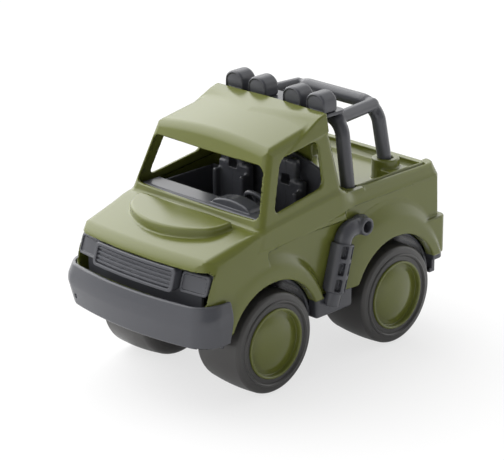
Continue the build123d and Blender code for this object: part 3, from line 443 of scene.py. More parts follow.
def lower_body(x, y, z):
    """Bonnet, wings, doors and bed walls as one closed form without a floor."""
    ax = np.abs(x)
    where = STATIONS[:, 0]
    crease_x, crease_z, top_x, top_z, crown = [soft(y, where, STATIONS[:, i]) for i in range(1, 6)]
    run_x, run_z = crease_x - BODY_HALF, crease_z - BODY_FOOT_Z
    side = ((ax - BODY_HALF) * run_z - (z - BODY_FOOT_Z) * run_x) / np.hypot(run_x, run_z)
    run_x, run_z = top_x - crease_x, top_z - crease_z
    shoulder = ((ax - crease_x) * run_z - (z - crease_z) * run_x) / np.hypot(run_x, run_z)
    top = z - top_z - crown * (1 - (ax / top_x) ** 2)
    nose_y = NOSE_Y + NOSE_LEAN * np.maximum(z - NOSE_FOOT_Z, 0) + NOSE_BOW * (ax / BODY_HALF) ** 2
    nose = (nose_y - y) * lean(NOSE_LEAN)
    tail = y - TAIL_Y
    brow = soft(y, (COWL_Y - BROW_EASE, COWL_Y + BROW_EASE), (BONNET_EDGE_R, RIM_EDGE_R))
    form = functools.reduce(np.maximum, [
        meet(NOSE_EDGE_R, nose, top), meet(NOSE_CORNER_R, nose, side), meet(NOSE_CORNER_R, nose, shoulder),
        meet(CREASE_R, side, shoulder), meet(brow, shoulder, top), meet(TAIL_CORNER_R, side, tail),
        meet(TAIL_CORNER_R, shoulder, tail), meet(TAIL_EDGE_R, top, tail)])
    panel = meet(DOOR_EDGE_R, DOOR_HALF - ax, DOOR_FRONT_Y - y, z - crease_z + CREASE_STEP)
    return cut(DOOR_STEP_R, form, panel)


def roof_edge(y):
    """Height of the roof's side edge at a place along the toy."""
    return ROOF_FRONT_Z + ROOF_RISE * (y - COWL_Y - SCREEN_LEAN * (ROOF_FRONT_Z - CAB_FOOT_Z))


def cab(x, y, z):
    """The cab from its foot to its crowned, rising roof."""
    ax = np.abs(x)
    up = z - CAB_FOOT_Z
    half = CAB_FOOT_HALF - CAB_SIDE_LEAN * up
    side = (ax - half) * lean(CAB_SIDE_LEAN)
    bowed = COWL_Y + SCREEN_SETBACK + SCREEN_LEAN * up + SCREEN_BOW * (ax / CAB_FOOT_HALF) ** 2
    screen = (bowed - y) * lean(SCREEN_LEAN)
    back = (y - CAB_REAR_Y + BACK_LEAN * up) * lean(BACK_LEAN)
    roof = z - roof_edge(y) - ROOF_CROWN * (1 - (ax / ROOF_HALF) ** 2)
    foot = CAB_FOOT_Z - CAB_ROOT - z
    return functools.reduce(np.maximum, [
        meet(CAB_CORNER_R, side, screen), meet(CAB_CORNER_R, side, back), meet(ROOF_EDGE_R, side, roof),
        meet(ROOF_EDGE_R, screen, roof), meet(ROOF_BACK_R, back, roof), foot])


def roof_pad(x, y, z):
    """The raised, flatter rear of the roof, with a facet on each side where its front meets the crown."""
    ax = np.abs(x)
    rear_y = CAB_REAR_Y - BACK_LEAN * (roof_edge(CAB_REAR_Y) - CAB_FOOT_Z) - PAD_REAR_IN
    up = z - roof_edge(y)
    top = up - PAD_RISE - PAD_CROWN * (1 - (ax / PAD_HALF) ** 2)
    tip_x, tip_y = PAD_TIP
    facet = up - PAD_RISE + PAD_FACET_FALL * (ax - tip_x) - PAD_FACET_RISE * (y - COWL_Y - tip_y)
    facet = facet * lean(PAD_FACET_RISE)
    side = (ax - PAD_HALF + CAB_SIDE_LEAN * (up - PAD_RISE)) * lean(CAB_SIDE_LEAN)
    return meet(PAD_EDGE_R, top, facet, side, y - rear_y, -PAD_ROOT - up)


def scoop(x, y, z):
    """The D-shaped raised panel ahead of the windscreen."""
    ax = np.abs(x)
    rise = SCOOP_LENGTH - SCOOP_SIDE
    radius = (SCOOP_HALF ** 2 + rise ** 2) / (2 * rise)
    centre_y = SCOOP_REAR_Y - SCOOP_LENGTH + radius
    front = np.hypot(ax, y - centre_y) - radius
    outline = meet(SCOOP_CORNER_R, front, ax - SCOOP_HALF)
    fall = (SCOOP_REAR_Z - SCOOP_FRONT_Z) / SCOOP_LENGTH
    top = z - SCOOP_REAR_Z - fall * (y - SCOOP_REAR_Y) - SCOOP_CROWN * (1 - (ax / SCOOP_CROWN_HALF) ** 2)
    return meet(SCOOP_EDGE_R, outline, top, y - SCOOP_REAR_Y, SCOOP_ROOT_Z - z)


def flare(x, y, z, axle_y, behind, crest_z, crest_r):
    """A bevel from a high crest on the panel out to a flat lip round the wheel arch."""
    ax = np.abs(x)
    depth = FLARE_X - DOOR_HALF
    lip = np.hypot(y - axle_y, z - ARCH_Z) - FLARE_LIP_R
    crest = crest_r - np.hypot(y - axle_y - behind, z - crest_z)
    width = np.maximum(lip + crest, FLARE_NARROW)
    bevel = (ax - FLARE_X + depth * lip / width) / np.sqrt(1 + (depth / width) ** 2)
    return np.maximum(meet(FLARE_EDGE_R, ax - FLARE_X, bevel), lip - width - FLARE_TUCK)


def rear_block(x, y, z):
    """The moulded rear bumper under the tailgate."""
    outline = meet(REAR_BLOCK_CORNER_R, np.abs(x) - REAR_BLOCK_HALF, y - REAR_Y)
    return meet(REAR_BLOCK_EDGE_R, outline, z - REAR_BLOCK_TOP_Z, REAR_Y - REAR_BLOCK_DEPTH - y)


def bed_bosses(x, y, z):
    """Corner pads and round bosses that the roll bar stands in."""
    ax = np.abs(x)
    inwards, outwards, ahead, behind = FOOT_PAD
    pad = block(ax, y, z, (BAR_FOOT_X - inwards, BAR_FRONT_Y - ahead, BOSS_ROOT_Z),
                (BAR_FOOT_X + outwards, BAR_FRONT_Y + behind, BED_Z), FOOT_PAD_EDGE_R)
    boss = meet(BOSS_EDGE_R, np.hypot(ax - BOSS_X, y - BOSS_Y) - BOSS_R, z - BOSS_Z, BOSS_ROOT_Z - z)
    wing = block(ax, y, z, (BOSS_X, BOSS_Y - BOSS_R, BOSS_ROOT_Z),
                 (TRAY_HALF + 1, BOSS_Y + BOSS_R, BED_Z), FOOT_PAD_EDGE_R)
    return join(FILLET_R, pad, boss, wing)


def bar_sockets(x, y, z):
    """The four round sockets for the roll bar's feet."""
    ax = np.abs(x)
    front = np.maximum(np.hypot(ax - BAR_FOOT_X, y - BAR_FRONT_Y) - SOCKET_R, BED_Z - SOCKET_DEPTH - z)
    rear = np.maximum(np.hypot(ax - BOSS_X, y - BOSS_Y) - SOCKET_R, BOSS_Z - SOCKET_DEPTH - z)
    return np.minimum(front, rear)


def body_openings(x, y, z):
    """Windows, wheel arches, the nose's opening, the bed's tray and the rim's grooves."""
    ax = np.abs(x)
    window = [(COWL_Y + back, height) for back, height in SIDE_WINDOW]
    side_window = np.maximum(polygon(SIDE_WINDOW_R, y, z, window), WINDOW_CUT_X - ax)
    (sill, sill_z), (head, head_z) = SCREEN_SILL, SCREEN_HEAD
    screen = polygon(SCREEN_R, x, z, [(-sill, sill_z), (sill, sill_z), (head, head_z), (-head, head_z)])
    screen = np.maximum(screen, y - COWL_Y - SCREEN_CUT)
    inner, outer, foot, top = BACK_WINDOW
    back_window = oblong(ax, z, (inner, foot), (outer, top), BACK_WINDOW_R)
    back_window = np.maximum(back_window, CAB_REAR_Y - BACK_CUT - y)
    arches = [np.hypot(y - at, z - ARCH_Z) - ARCH_R for at in (FRONT_AXLE_Y, REAR_AXLE_Y)]
    hole, foot, top = NOSE_HOLE
    nose = np.maximum(oblong(x, z, (-hole, foot), (hole, top), NOSE_HOLE_R), y - FRONT_Y - NOSE_HOLE_DEPTH)
    tray = block(x, y, z, (-TRAY_HALF, TRAY_FRONT_Y, TRAY_FLOOR_Z), (TRAY_HALF, TRAY_REAR_Y, BED_Z + 90),
                 TRAY_CORNER_R)
    groove = block(ax, y, z, (GROOVE_X[0], TRAY_FRONT_Y + 8, BED_Z - GROOVE_DEPTH),
                   (GROOVE_X[1], TAIL_Y - 8, BED_Z + 20), 0.7)
    drop = functools.reduce(np.maximum, [ax - TRAY_HALF + 3, TRAY_REAR_Y - 5 - y, BED_Z - TAILGATE_DROP - z])
    return [side_window, screen, back_window, *arches, nose, groove, drop], tray


def body_shell(x, y, z):
    """The whole green moulding, hollow, with its openings and sockets."""
    lower = lower_body(x, y, z)
    house = cab(x, y, z)
    base = join(CAB_FILLET_R, lower, house)
    outer = join(PAD_FILLET_R, base, roof_pad(x, y, z))
    outer = join(FILLET_R, outer, scoop(x, y, z))
    for row in FLARES:
        outer = join(FILLET_R, outer, flare(x, y, z, *row))
    outer = join(FILLET_R, outer, rear_block(x, y, z))
    outer = meet(SHELL_EDGE_R, outer, BODY_FOOT_Z - z)
    openings, tray = body_openings(x, y, z)
    inner = cut(FILLET_R, base + WALL, tray - WALL)
    shell = cut(SHELL_EDGE_R, outer, inner, tray)
    shell = join(FILLET_R, shell, bed_bosses(x, y, z))
    for tool in openings:
        shell = cut(OPENING_EDGE_R, shell, tool)
    return cut(SOCKET_EDGE_R, shell, bar_sockets(x, y, z))


def outside(x, y, z):
    """The outer form of the green body without its scoop, bed and openings."""
    outer = join(CAB_FILLET_R, lower_body(x, y, z), cab(x, y, z))
    for row in FLARES:
        outer = join(FILLET_R, outer, flare(x, y, z, *row))
    return outer


# Front bumper, grille and headlamps
BUMPER_HALF = BUMPER_HIGH[0]
BUMPER_FOOT_Z = BUMPER_LOW[2]
BUMPER_CREASE_Z = 59.5
BUMPER_LIP_Z = BUMPER_HIGH[2]
BUMPER_SHELF_Z = 64.5
BUMPER_BOW = 8.0
BUMPER_CORNER_R = 12.0
BUMPER_CREASE_R = 2.0
BUMPER_EDGE_R = 1.1
BUMPER_SHELF_R = 0.9
BUMPER_FOOT_IN = 3.0
BUMPER_LIP_IN = 2.6
DIMPLE = (-47.5, 49.5)          # across, height
DIMPLE_R = 1.5
DIMPLE_DEPTH = 1.2
DIMPLE_SQUEEZE = 1.2            # how much taller it is than wide
DIMPLE_EDGE_R = 0.4
DIMPLE_SETBACK = 1.8            # how far the face leans back to its height
GRILLE_HALF = BODY_HALF - 24.0
GRILLE_FOOT_Z = 73.1
GRILLE_HEAD_Z = 86.7
GRILLE_RIBS = 4
GRILLE_RIM = (2.4, 1.9)         # width of its rim at the ends, and above and below
GRILLE_PROUD = 0.3              # ahead of the nose's surface
GRILLE_DEPTH = 6.0
GRILLE_CORNER_R = 2.8
LAMP_CORNER_R = 2.4
NOSE_TRIM_EDGE_R = 0.7
RIB_FLAT = 0.45                 # share of a rib's half pitch before its side falls away
RIB_SETBACK = 0.5               # rib tops behind the nose's surface
RIB_GROOVE = 0.9                # depth between the ribs
HEADLAMP_OUTER_X = BODY_HALF - 3.7
HEADLAMP_SETBACK = 4.4
HEADLAMP_THICK = 2.7
HEADLAMP_RIM = 1.7
LENS_DEPTH = 0.8


def bumper_plan(ax, y, inset):
    """The bumper's bowed outline from above, drawn in by an inset."""
    half = BUMPER_HALF - inset
    return meet(BUMPER_CORNER_R, FRONT_Y + inset + BUMPER_BOW * (ax / half) ** 2 - y, ax - half)


def front_bumper(x, y, z):
    """A C-shaped moulding with a crease, a raised lip and a shelf back to the nose."""
    ax = np.abs(x)
    low_in = BUMPER_FOOT_IN * (BUMPER_CREASE_Z - z) / (BUMPER_CREASE_Z - BUMPER_FOOT_Z)
    high_in = BUMPER_LIP_IN * (z - BUMPER_CREASE_Z) / (BUMPER_LIP_Z - BUMPER_CREASE_Z)
    outer = meet(BUMPER_CREASE_R, bumper_plan(ax, y, low_in), bumper_plan(ax, y, high_in))
    outer = meet(BUMPER_EDGE_R, outer, z - BUMPER_LIP_Z, BUMPER_FOOT_Z - z, y - BUMPER_HIGH[1])
    under = np.maximum(bumper_plan(ax, y, np.maximum(low_in, 0) + TRIM_WALL), z - BUMPER_SHELF_Z + TRIM_WALL)
    over = np.maximum(bumper_plan(ax, y, BUMPER_LIP_IN + TRIM_WALL + 0 * z), BUMPER_SHELF_Z - z)
    shell = cut(BUMPER_SHELF_R, outer, under, over)
    dimple_x, dimple_z = DIMPLE
    dimple = np.hypot((x - dimple_x) * DIMPLE_SQUEEZE, z - dimple_z) - DIMPLE_R
    face_y = FRONT_Y + DIMPLE_SETBACK + BUMPER_BOW * (dimple_x / BUMPER_HALF) ** 2
    shell = cut(DIMPLE_EDGE_R, shell, np.maximum(dimple, y - face_y - DIMPLE_DEPTH))
    return cut(0.3, shell, outside(x, y, z) - FIT_GAP)


def nose_ahead(x, y, z):
    """How far a point lies ahead of the nose's leaning, bowed face."""
    bowed = NOSE_Y + NOSE_LEAN * np.maximum(z - NOSE_FOOT_Z, 0) + NOSE_BOW * (x / BODY_HALF) ** 2
    return (bowed - y) * lean(NOSE_LEAN)


def grille(x, y, z):
    """A plate with a raised rim and louvre ribs."""
    ahead = nose_ahead(x, y, z)
    plate = oblong(x, z, (-GRILLE_HALF, GRILLE_FOOT_Z), (GRILLE_HALF, GRILLE_HEAD_Z), GRILLE_CORNER_R)
    solid = meet(NOSE_TRIM_EDGE_R, plate, ahead - GRILLE_PROUD, -GRILLE_DEPTH - ahead)
    end, edge = GRILLE_RIM
    low, high = (end - GRILLE_HALF, GRILLE_FOOT_Z + edge), (GRILLE_HALF - end, GRILLE_HEAD_Z - edge)
    inner = oblong(x, z, low, high, 1.6)
    phase = (z - low[1]) / (high[1] - low[1]) * GRILLE_RIBS
    apart = np.abs(phase - np.floor(phase) - 0.5) * 2       # 0 on a rib's middle, 1 between two ribs
    floor = -RIB_SETBACK - RIB_GROOVE * np.clip((apart - RIB_FLAT) * 3.0, 0, 1)
    return cut(0.35, solid, np.maximum(inner, (floor - ahead) * 0.7))


def headlamp(x, y, z):
    """The left headlamp: a flat lens in a raised rim."""
    ahead = nose_ahead(x, y, z) + HEADLAMP_SETBACK
    low = (GRILLE_HALF + 0.6, GRILLE_FOOT_Z + 0.2)
    high = (HEADLAMP_OUTER_X, GRILLE_HEAD_Z - 1.4)
    solid = meet(NOSE_TRIM_EDGE_R, oblong(x, z, low, high, LAMP_CORNER_R), ahead, -HEADLAMP_THICK - ahead)
    inner = oblong(x, z, (low[0] + HEADLAMP_RIM, low[1] + HEADLAMP_RIM),
                   (high[0] - HEADLAMP_RIM, high[1] - HEADLAMP_RIM), 1.4)
    return cut(0.4, solid, np.maximum(inner, -LENS_DEPTH - ahead))


# Roll bar, lamps and their tray
BAR_TOP_Z = 147.0
BAR_BEND_R = 12.0
BAR_TOP_X = BAR_FOOT_X - 6.5
BAR_REAR_X = BOSS_X - 0.7
BAR_REAR_TOP_Y = BOSS_Y - 8.3
BAR_PLUG = 5.0
LONG_TUBE_IN = 2.6              # the long tubes run this far inside the hoops' bends
LONG_TUBE_DROP = 0.6
LONG_TUBE_R = BAR_R * 0.94
TRAY_LOW, TRAY_HIGH = span("lamp_tray")
TRAY_THICK = 2.2
TRAY_GAP = 0.3                  # between it and the hoop
TRAY_WEB_HALF = 3.0
LAMPS = ["roof_lamp_" + str(number) for number in range(1, 5)]
LAMP_RISE = 5.4                 # the round part of the lamp's top
LAMP_RIM = 1.5
LENS_SETBACK = 0.5
LENS_BOWL = 0.012               # how fast the lens deepens from its middle, per square millimetre
LENS_MIDDLE = 5.5               # above the lamp's foot


def roll_bar(x, y, z):
    """Front hoop, long tubes and rear hoop."""
    ax = np.abs(x)
    front = bent([(BAR_FOOT_X, BAR_FRONT_Y, BED_Z - BAR_PLUG), (BAR_TOP_X, BAR_FRONT_Y, BAR_TOP_Z),
                  (0, BAR_FRONT_Y, BAR_TOP_Z)], BAR_BEND_R)
    rear = bent([(BOSS_X, BOSS_Y, BOSS_Z - BAR_PLUG), (BAR_REAR_X, BAR_REAR_TOP_Y, BAR_TOP_Z),
                 (0, BAR_REAR_TOP_Y, BAR_TOP_Z)], BAR_BEND_R)
    tube_z = BAR_TOP_Z - LONG_TUBE_DROP
    long = rod(ax, y, z, (BAR_TOP_X - LONG_TUBE_IN, BAR_FRONT_Y + 1, tube_z),
               (BAR_REAR_X - LONG_TUBE_IN, BAR_REAR_TOP_Y - 1, tube_z), LONG_TUBE_R)
    hoops = join(0.8, pipe(ax, y, z, front, BAR_R), pipe(ax, y, z, rear, BAR_R))
    feet = np.where(y > (BAR_FRONT_Y + BOSS_Y) / 2, BOSS_Z, BED_Z) - BAR_PLUG - z
    return meet(0.4, join(1.2, hoops, long), feet)


def lamp_tray(x, y, z):
    """A thin tray with a web to the hoop behind each lamp."""
    plate_z = TRAY_HIGH[2] - TRAY_THICK
    plate = meet(4.0, np.abs(x) - TRAY_HIGH[0], TRAY_LOW[1] - y, y - TRAY_HIGH[1])
    plate = meet(0.6, plate, z - TRAY_HIGH[2], plate_z - z)
    for lamp in LAMPS:
        web = block(np.abs(x - middle(lamp)[0]), y, z, (-1, TRAY_HIGH[1] - 4, TRAY_LOW[2]),
                    (TRAY_WEB_HALF, TRAY_HIGH[1], plate_z + 1), 0.4)
        plate = join(0.5, plate, web)
    tube = np.hypot(y - BAR_FRONT_Y, z - BAR_TOP_Z) - BAR_R - TRAY_GAP
    return cut(0.2, plate, tube)


def roof_lamp(name):
    """The field of one lamp: a round-topped case with a rim round a shallow lens."""
    low, high = span(name)
    half = (high[0] - low[0]) / 2
    radius = (half ** 2 + LAMP_RISE ** 2) / (2 * LAMP_RISE)
    centre = np.array([(low[0] + high[0]) / 2, low[1], high[2] - radius])

    def field(x, y, z):
        u = np.abs(x - centre[0])
        dome = np.where(z > centre[2], np.hypot(u, z - centre[2]), u) - radius
        outline = meet(1.6, u - half, low[2] - z, dome)
        case = meet(1.8, outline, low[1] - y, y - high[1])
        lens = low[1] + LENS_SETBACK + LENS_BOWL * (u ** 2 + (z - low[2] - LENS_MIDDLE) ** 2)
        return cut(0.5, case, np.maximum(outline + LAMP_RIM, y - lens))

    return field


# Side exhausts
STACK_X = BODY_HALF - 0.5
STACK_R = 7.5
STACK_FOOT = np.array([STACK_X, (FRONT_AXLE_Y + REAR_AXLE_Y) / 2 - 3.2, 49.5])
STACK_RUN = np.array([0.0, 0.28 * 29.0, 29.0])
STACK_SLOTS = 3
SLOT_HALF = (1.9, 3.7)          # across, along
SLOT_FLOOR_R = STACK_R - 4.5
SLOT_TURN = math.radians(28.0)  # the two rows of slots stand this far to each side
PIPE_R = STACK_R - 2.0
PIPE_BELOW = 8.5                # pipe's end below the shield
PIPE_ABOVE = 7.0
OUTLET_REACH = 17.0             # from the bend back to the outlet's end
OUTLET_WALL = 2.0


def exhaust(x, y, z):
    """The left exhaust: a slotted leaning heat shield, the bent outlet above and the pipe's end below."""
    length = float(np.linalg.norm(STACK_RUN))
    way = STACK_RUN / length
    dx, dy, dz = x - STACK_FOOT[0], y - STACK_FOOT[1], z - STACK_FOOT[2]
    along = dy * way[1] + dz * way[2]
    across = dz * way[1] - dy * way[2]
    away = np.hypot(dx, across)
    shield = meet(0.9, away - STACK_R, -along, along - length)
    low = STACK_FOOT - way * PIPE_BELOW
    top = STACK_FOOT + STACK_RUN + way * PIPE_ABOVE
    path = bent([low, top, (STACK_X, top[1] + OUTLET_REACH, top[2] + 1.0)], 8.0)
    elbow = meet(0.6, pipe(x, y, z, path, PIPE_R), y - top[1] - OUTLET_REACH, -PIPE_BELOW - along)
    tip_away = np.hypot(y - top[1] - 13, z - top[2] - 0.8) - PIPE_R
    tip = meet(0.9, tip_away, x - STACK_X - 7.0, STACK_X - 4.0 - x)
    shape = join(1.0, join(0.5, shield, elbow), tip)
    for angle in (-SLOT_TURN, SLOT_TURN):
        u = dx * math.cos(angle) - across * math.sin(angle)
        v = dx * math.sin(angle) + across * math.cos(angle)
        for i in range(STACK_SLOTS):
            at = length / STACK_SLOTS * (i + 0.5)
            slot = meet(0.7, np.abs(v) - SLOT_HALF[0], np.abs(along - at) - SLOT_HALF[1], SLOT_FLOOR_R - u)
            shape = cut(0.35, shape, slot)
    shape = cut(0.6, shape, np.maximum(tip_away + OUTLET_WALL, STACK_X - 1 - x))
    shape = cut(0.3, shape, outside(x, y, z) - FIT_GAP)
    sill = np.maximum(x - BODY_HALF + 1.1, z - BODY_FOOT_Z - 5)
    return cut(0.3, shape, sill)


# Cab interior
TUB_FLOOR_Z = TUB_LOW[2]
TUB_RIM_Z = 104.0
TUB_HALF = TUB_HIGH[0]
SEAT_X = TUB_HALF - 28.0
PANEL_IN = 8.0                  # rear panel inside the tray's sides, and the rise of its arch
DASH_TOP = 2.5                  # pad above the tray's rim
HOOD_HALF = 17.0
HOOD_RISE = 5.0
HOOD_LENGTH = 11.0
COLUMN_R = 1.8
COLUMN_GAP = 0.3
COLUMN_LENGTH = 12.6
WHEEL_R = 9.5
WHEEL_RIM_R = 1.5
SPOKE_HALF = 1.5
SEAT_BACK_THICK = 6.0
SEAT_NECK = 13.0                # shoulders below the headrest's top
CUSHION_RISE = 11.0
HEADREST_IN = 5.5               # narrower than the seat on each side
BOLSTER_WIDTH = 3.0
DASH_REAR_Y = DASH_HIGH[1]
WHEEL_TILT = math.radians(25.0)
WHEEL_AT = (SEAT_X, DASH_REAR_Y + 9.5, TUB_RIM_Z - 1.5)


def cabin_tub(x, y, z):
    """The dark interior tray with the arched panel behind the seats."""
    ax = np.abs(x)
    tub = block(x, y, z, TUB_LOW, (TUB_HIGH[0], TUB_HIGH[1], TUB_RIM_Z), 1.2)
    inner_low = TUB_LOW + TRIM_WALL
    inner_high = (TUB_HIGH[0] - TRIM_WALL, TUB_HIGH[1] - TRIM_WALL, TUB_RIM_Z + 20)
    hollow = block(x, y, z, inner_low, inner_high, 2.0)
    half = TUB_HALF - PANEL_IN
    radius = (half ** 2 + PANEL_IN ** 2) / (2 * PANEL_IN)
    arch = np.hypot(x, z - TUB_HIGH[2] + radius) - radius
    panel = meet(0.8, ax - half, arch, TUB_RIM_Z - 4 - z, y - TUB_HIGH[1], TUB_HIGH[1] - TRIM_WALL - y)
    return join(0.5, cut(0.6, tub, hollow), panel)


def column_depth(x, y, z, radius):
    """The steering column, and each point's place across and along the wheel's tilted axis."""
    w = (y - WHEEL_AT[1]) * math.cos(WHEEL_TILT) + (z - WHEEL_AT[2]) * math.sin(WHEEL_TILT)
    v = (y - WHEEL_AT[1]) * math.sin(WHEEL_TILT) - (z - WHEEL_AT[2]) * math.cos(WHEEL_TILT)
    return np.maximum(np.hypot(x - WHEEL_AT[0], v) - radius, np.maximum(w, -w - COLUMN_LENGTH)), v, w


def dashboard(x, y, z):
    """Padded top, rear face and the instrument hood on the driver's side."""
    ax = np.abs(x)
    front, rear = DASH_LOW[1], DASH_HIGH[1]
    top = TUB_RIM_Z + DASH_TOP
    over_rim = z - TUB_RIM_Z
    pad = meet(0.9, ax - TUB_HALF, -over_rim, z - top, front - y + 0.6 * over_rim, y - rear + over_rim)
    lip = block(ax, y, z, (-1, rear - 4, TUB_RIM_Z - 13), (TUB_HALF - 2.7, rear, TUB_RIM_Z + 1), 0.8)
    u = x - SEAT_X
    crown = z - top - HOOD_RISE + 0.0128 * u ** 2
    middle_y = (front + rear) / 2 + 1
    hood_side = np.abs(u) - HOOD_HALF + 0.86 * (z - top + 1)
    hood = meet(1.2, hood_side, crown, np.abs(y - middle_y) - HOOD_LENGTH / 2, top - 1 - z)
    return cut(0.3, join(0.6, pad, lip, hood), column_depth(x, y, z, COLUMN_R + COLUMN_GAP)[0])


def steering_wheel(x, y, z):
    """Rim, spokes, hub and the column."""
    column, v, w = column_depth(x, y, z, COLUMN_R)
    u = x - WHEEL_AT[0]
    rim = np.hypot(np.hypot(u, v) - WHEEL_R, w) - WHEEL_RIM_R
    spokes = np.minimum(meet(0.5, np.abs(u) - WHEEL_R, np.abs(v) - SPOKE_HALF, np.abs(w) - 1.0),
                        meet(0.5, np.abs(u) - SPOKE_HALF, np.abs(v + 5) - 4.5, np.abs(w) - 1.0))
    centre = meet(0.5, np.hypot(u, v) - 3.2, np.abs(w) - 1.5)
    return join(0.5, rim, spokes, centre, column)


def seat(name):
    """The field of one bucket seat: cushion, bolstered back and the slot under its headrest."""
    low, high = span(name)
    at = (low[0] + high[0]) / 2
    half = (high[0] - low[0]) / 2
    back_y = high[1] - SEAT_BACK_THICK
    neck_z = high[2] - SEAT_NECK

    def field(x, y, z):
        u = np.abs(x - at)
        cushion = block(u, y, z, (-1, low[1], low[2]), (half, high[1] - 2, low[2] + CUSHION_RISE), 2.5)
        back = block(u, y, z, (-1, back_y, low[2]), (half, high[1], neck_z), 2.0)
        head = block(u, y, z, (-1, back_y, neck_z - 5), (half - HEADREST_IN, high[1], high[2] - 0.3), 2.4)
        bolster = block(u, y, z, (half - BOLSTER_WIDTH, back_y - 5, low[2] + CUSHION_RISE - 1),
                        (half, back_y + 1, low[2] + 30), 1.2)
        slot = block(u, y, z, (-1, low[1], neck_z - 3.5), (3.5, high[1] + 5, neck_z + 2.5), 0.8)
        return cut(0.5, join(1.5, cushion, back, head, bolster), slot)

    return field


# Underside
PLATE_Z = 34.5
PLATE_THICK = 2.6
NOSE_PLATE_Z = 43.5
TYRE_OUTER_X = BODY_HALF + 2.0
TYRE_WIDTH = 39.5
PLATE_WAIST = TYRE_OUTER_X - TYRE_WIDTH - 1.2       # half width between the wheels
LINER_WALL = 1.8
POST_HALF = 3.5
POSTS = ((10.0, FRONT_AXLE_Y + 14), (34.0, CAB_REAR_Y - 16))    # posts under the cab's tray
LUG_R = 5.5
LUG_THICK = 4.0
AXLE_BORE_R = 2.1
STRIP_RISE = 9.0                # rear strip's foot above the floor pan's
STRIP_DEPTH = 12.0
PAN_FRONT_IN = 16.0             # floor pan's ends inside the toy's
PAN_REAR_IN = 7.0
CARRIER_GAP = 0.4               # behind the headlamps
CARRIER_THICK = 2.2
SILL_EDGE_R = 2.4
LINER_R = ARCH_R - 0.2 - LINER_WALL
SILL_HALF = BODY_HALF - 1.3


def pan_slab(ax, y, z, half, ends, heights):
    """A block across the middle plane."""
    return block(ax, y, z, (-1, ends[0], heights[0]), (half, ends[1], heights[1]), 0.5)


def chassis(x, y, z):
    """Floor pan, sills, bearings, the grille's carrier, posts and the rear strip."""
    ax = np.abs(x)
    top = PLATE_Z + PLATE_THICK
    front, rear = FRONT_Y + PAN_FRONT_IN, REAR_Y - PAN_REAR_IN
    sills = (FRONT_AXLE_Y + ARCH_R, REAR_AXLE_Y - ARCH_R)
    nose_rear = FRONT_AXLE_Y - ARCH_R - 0.5
    nose = (NOSE_PLATE_Z, NOSE_PLATE_Z + PLATE_THICK)
    flat = (PLATE_Z, top)
    shape = functools.reduce(np.minimum, [
        pan_slab(ax, y, z, PLATE_WAIST, (nose_rear, rear), flat),
        pan_slab(ax, y, z, BODY_HALF - 7, (front, nose_rear), nose),
        pan_slab(ax, y, z, PLATE_WAIST - LINER_WALL - 0.2, (nose_rear, nose_rear + 3), (PLATE_Z, nose[1])),
        pan_slab(ax, y, z, BODY_HALF - 4, (rear - 5, rear), flat),
        pan_slab(ax, y, z, BODY_HALF - 4, (rear - 3, rear), (PLATE_Z, PLATE_Z + 10))])
    sill = meet(SILL_EDGE_R, ax - SILL_HALF, PLATE_Z - z, sills[0] - y, y - sills[1])
    sill = meet(0.5, sill, z - BODY_FOOT_Z)
    room = np.maximum(ax - SILL_HALF + 7, top - z)
    shape = join(0.4, shape, cut(0.4, sill, room))
    ahead = nose_ahead(x, y, z)
    behind = HEADLAMP_SETBACK + HEADLAMP_THICK + CARRIER_GAP
    carrier = meet(0.4, ax - DOOR_HALF + 5.7, -behind - ahead - CARRIER_THICK, ahead + behind,
                   NOSE_PLATE_Z - z, z - GRILLE_HEAD_Z + 1.6)
    strip = meet(6.0, ax - BODY_HALF + 1.1, y - REAR_Y + 0.8)
    strip = meet(0.5, strip, REAR_Y - STRIP_DEPTH - y, PLATE_Z + STRIP_RISE - z, z - BODY_FOOT_Z)
    shape = join(0.3, shape, carrier, strip)
    for post_x, post_y in POSTS:
        post = block(ax, y, z, (post_x - POST_HALF, post_y - POST_HALF, PLATE_Z),
                     (post_x + POST_HALF, post_y + POST_HALF, TUB_FLOOR_Z), 0.4)
        shape = np.minimum(shape, post)
    for axle_y in (FRONT_AXLE_Y, REAR_AXLE_Y):
        away = np.hypot(y - axle_y, z - AXLE_Z)
        inner_x = PLATE_WAIST - LUG_THICK
        lug = meet(0.3, away - LUG_R, inner_x - ax, ax - PLATE_WAIST)
        web = block(ax, y, z, (inner_x, axle_y - LUG_R, AXLE_Z), (PLATE_WAIST, axle_y + LUG_R, top), 0.3)
        shape = np.minimum(shape, np.minimum(lug, web))
        shape = np.maximum(shape, AXLE_BORE_R - away)
    return shape


def wheel_liner(axle_y):
    """The field of the left liner over one wheel."""
    def field(x, y, z):
        away = np.hypot(y - axle_y, z - ARCH_Z)
        outer_x = DOOR_HALF - 2.5
        ring = meet(0.3, away - LINER_R - LINER_WALL, x - outer_x, PLATE_WAIST - LINER_WALL - x)
        room = np.maximum(away - LINER_R, PLATE_WAIST - x)
        return meet(0.3, cut(0.3, ring, room), PLATE_Z + PLATE_THICK - z)

    return field


# Wheels
TYRE_R = 31.5
TYRE_EDGE_R = 30.2
TYRE_SHOULDER = 6.5
CROWN_PEAK = 0.13               # the crown is highest a little outside its middle, by this much
HUB_R = 21.6
HUB_DOME = 3.0
HUB_WALL = 2.0
HUB_SLEEVE_R = 5.0
HUB_BORE_R = 2.05
CREASE_ANGLE = math.radians(35.0)       # wheel edges sharper than this stay sharp


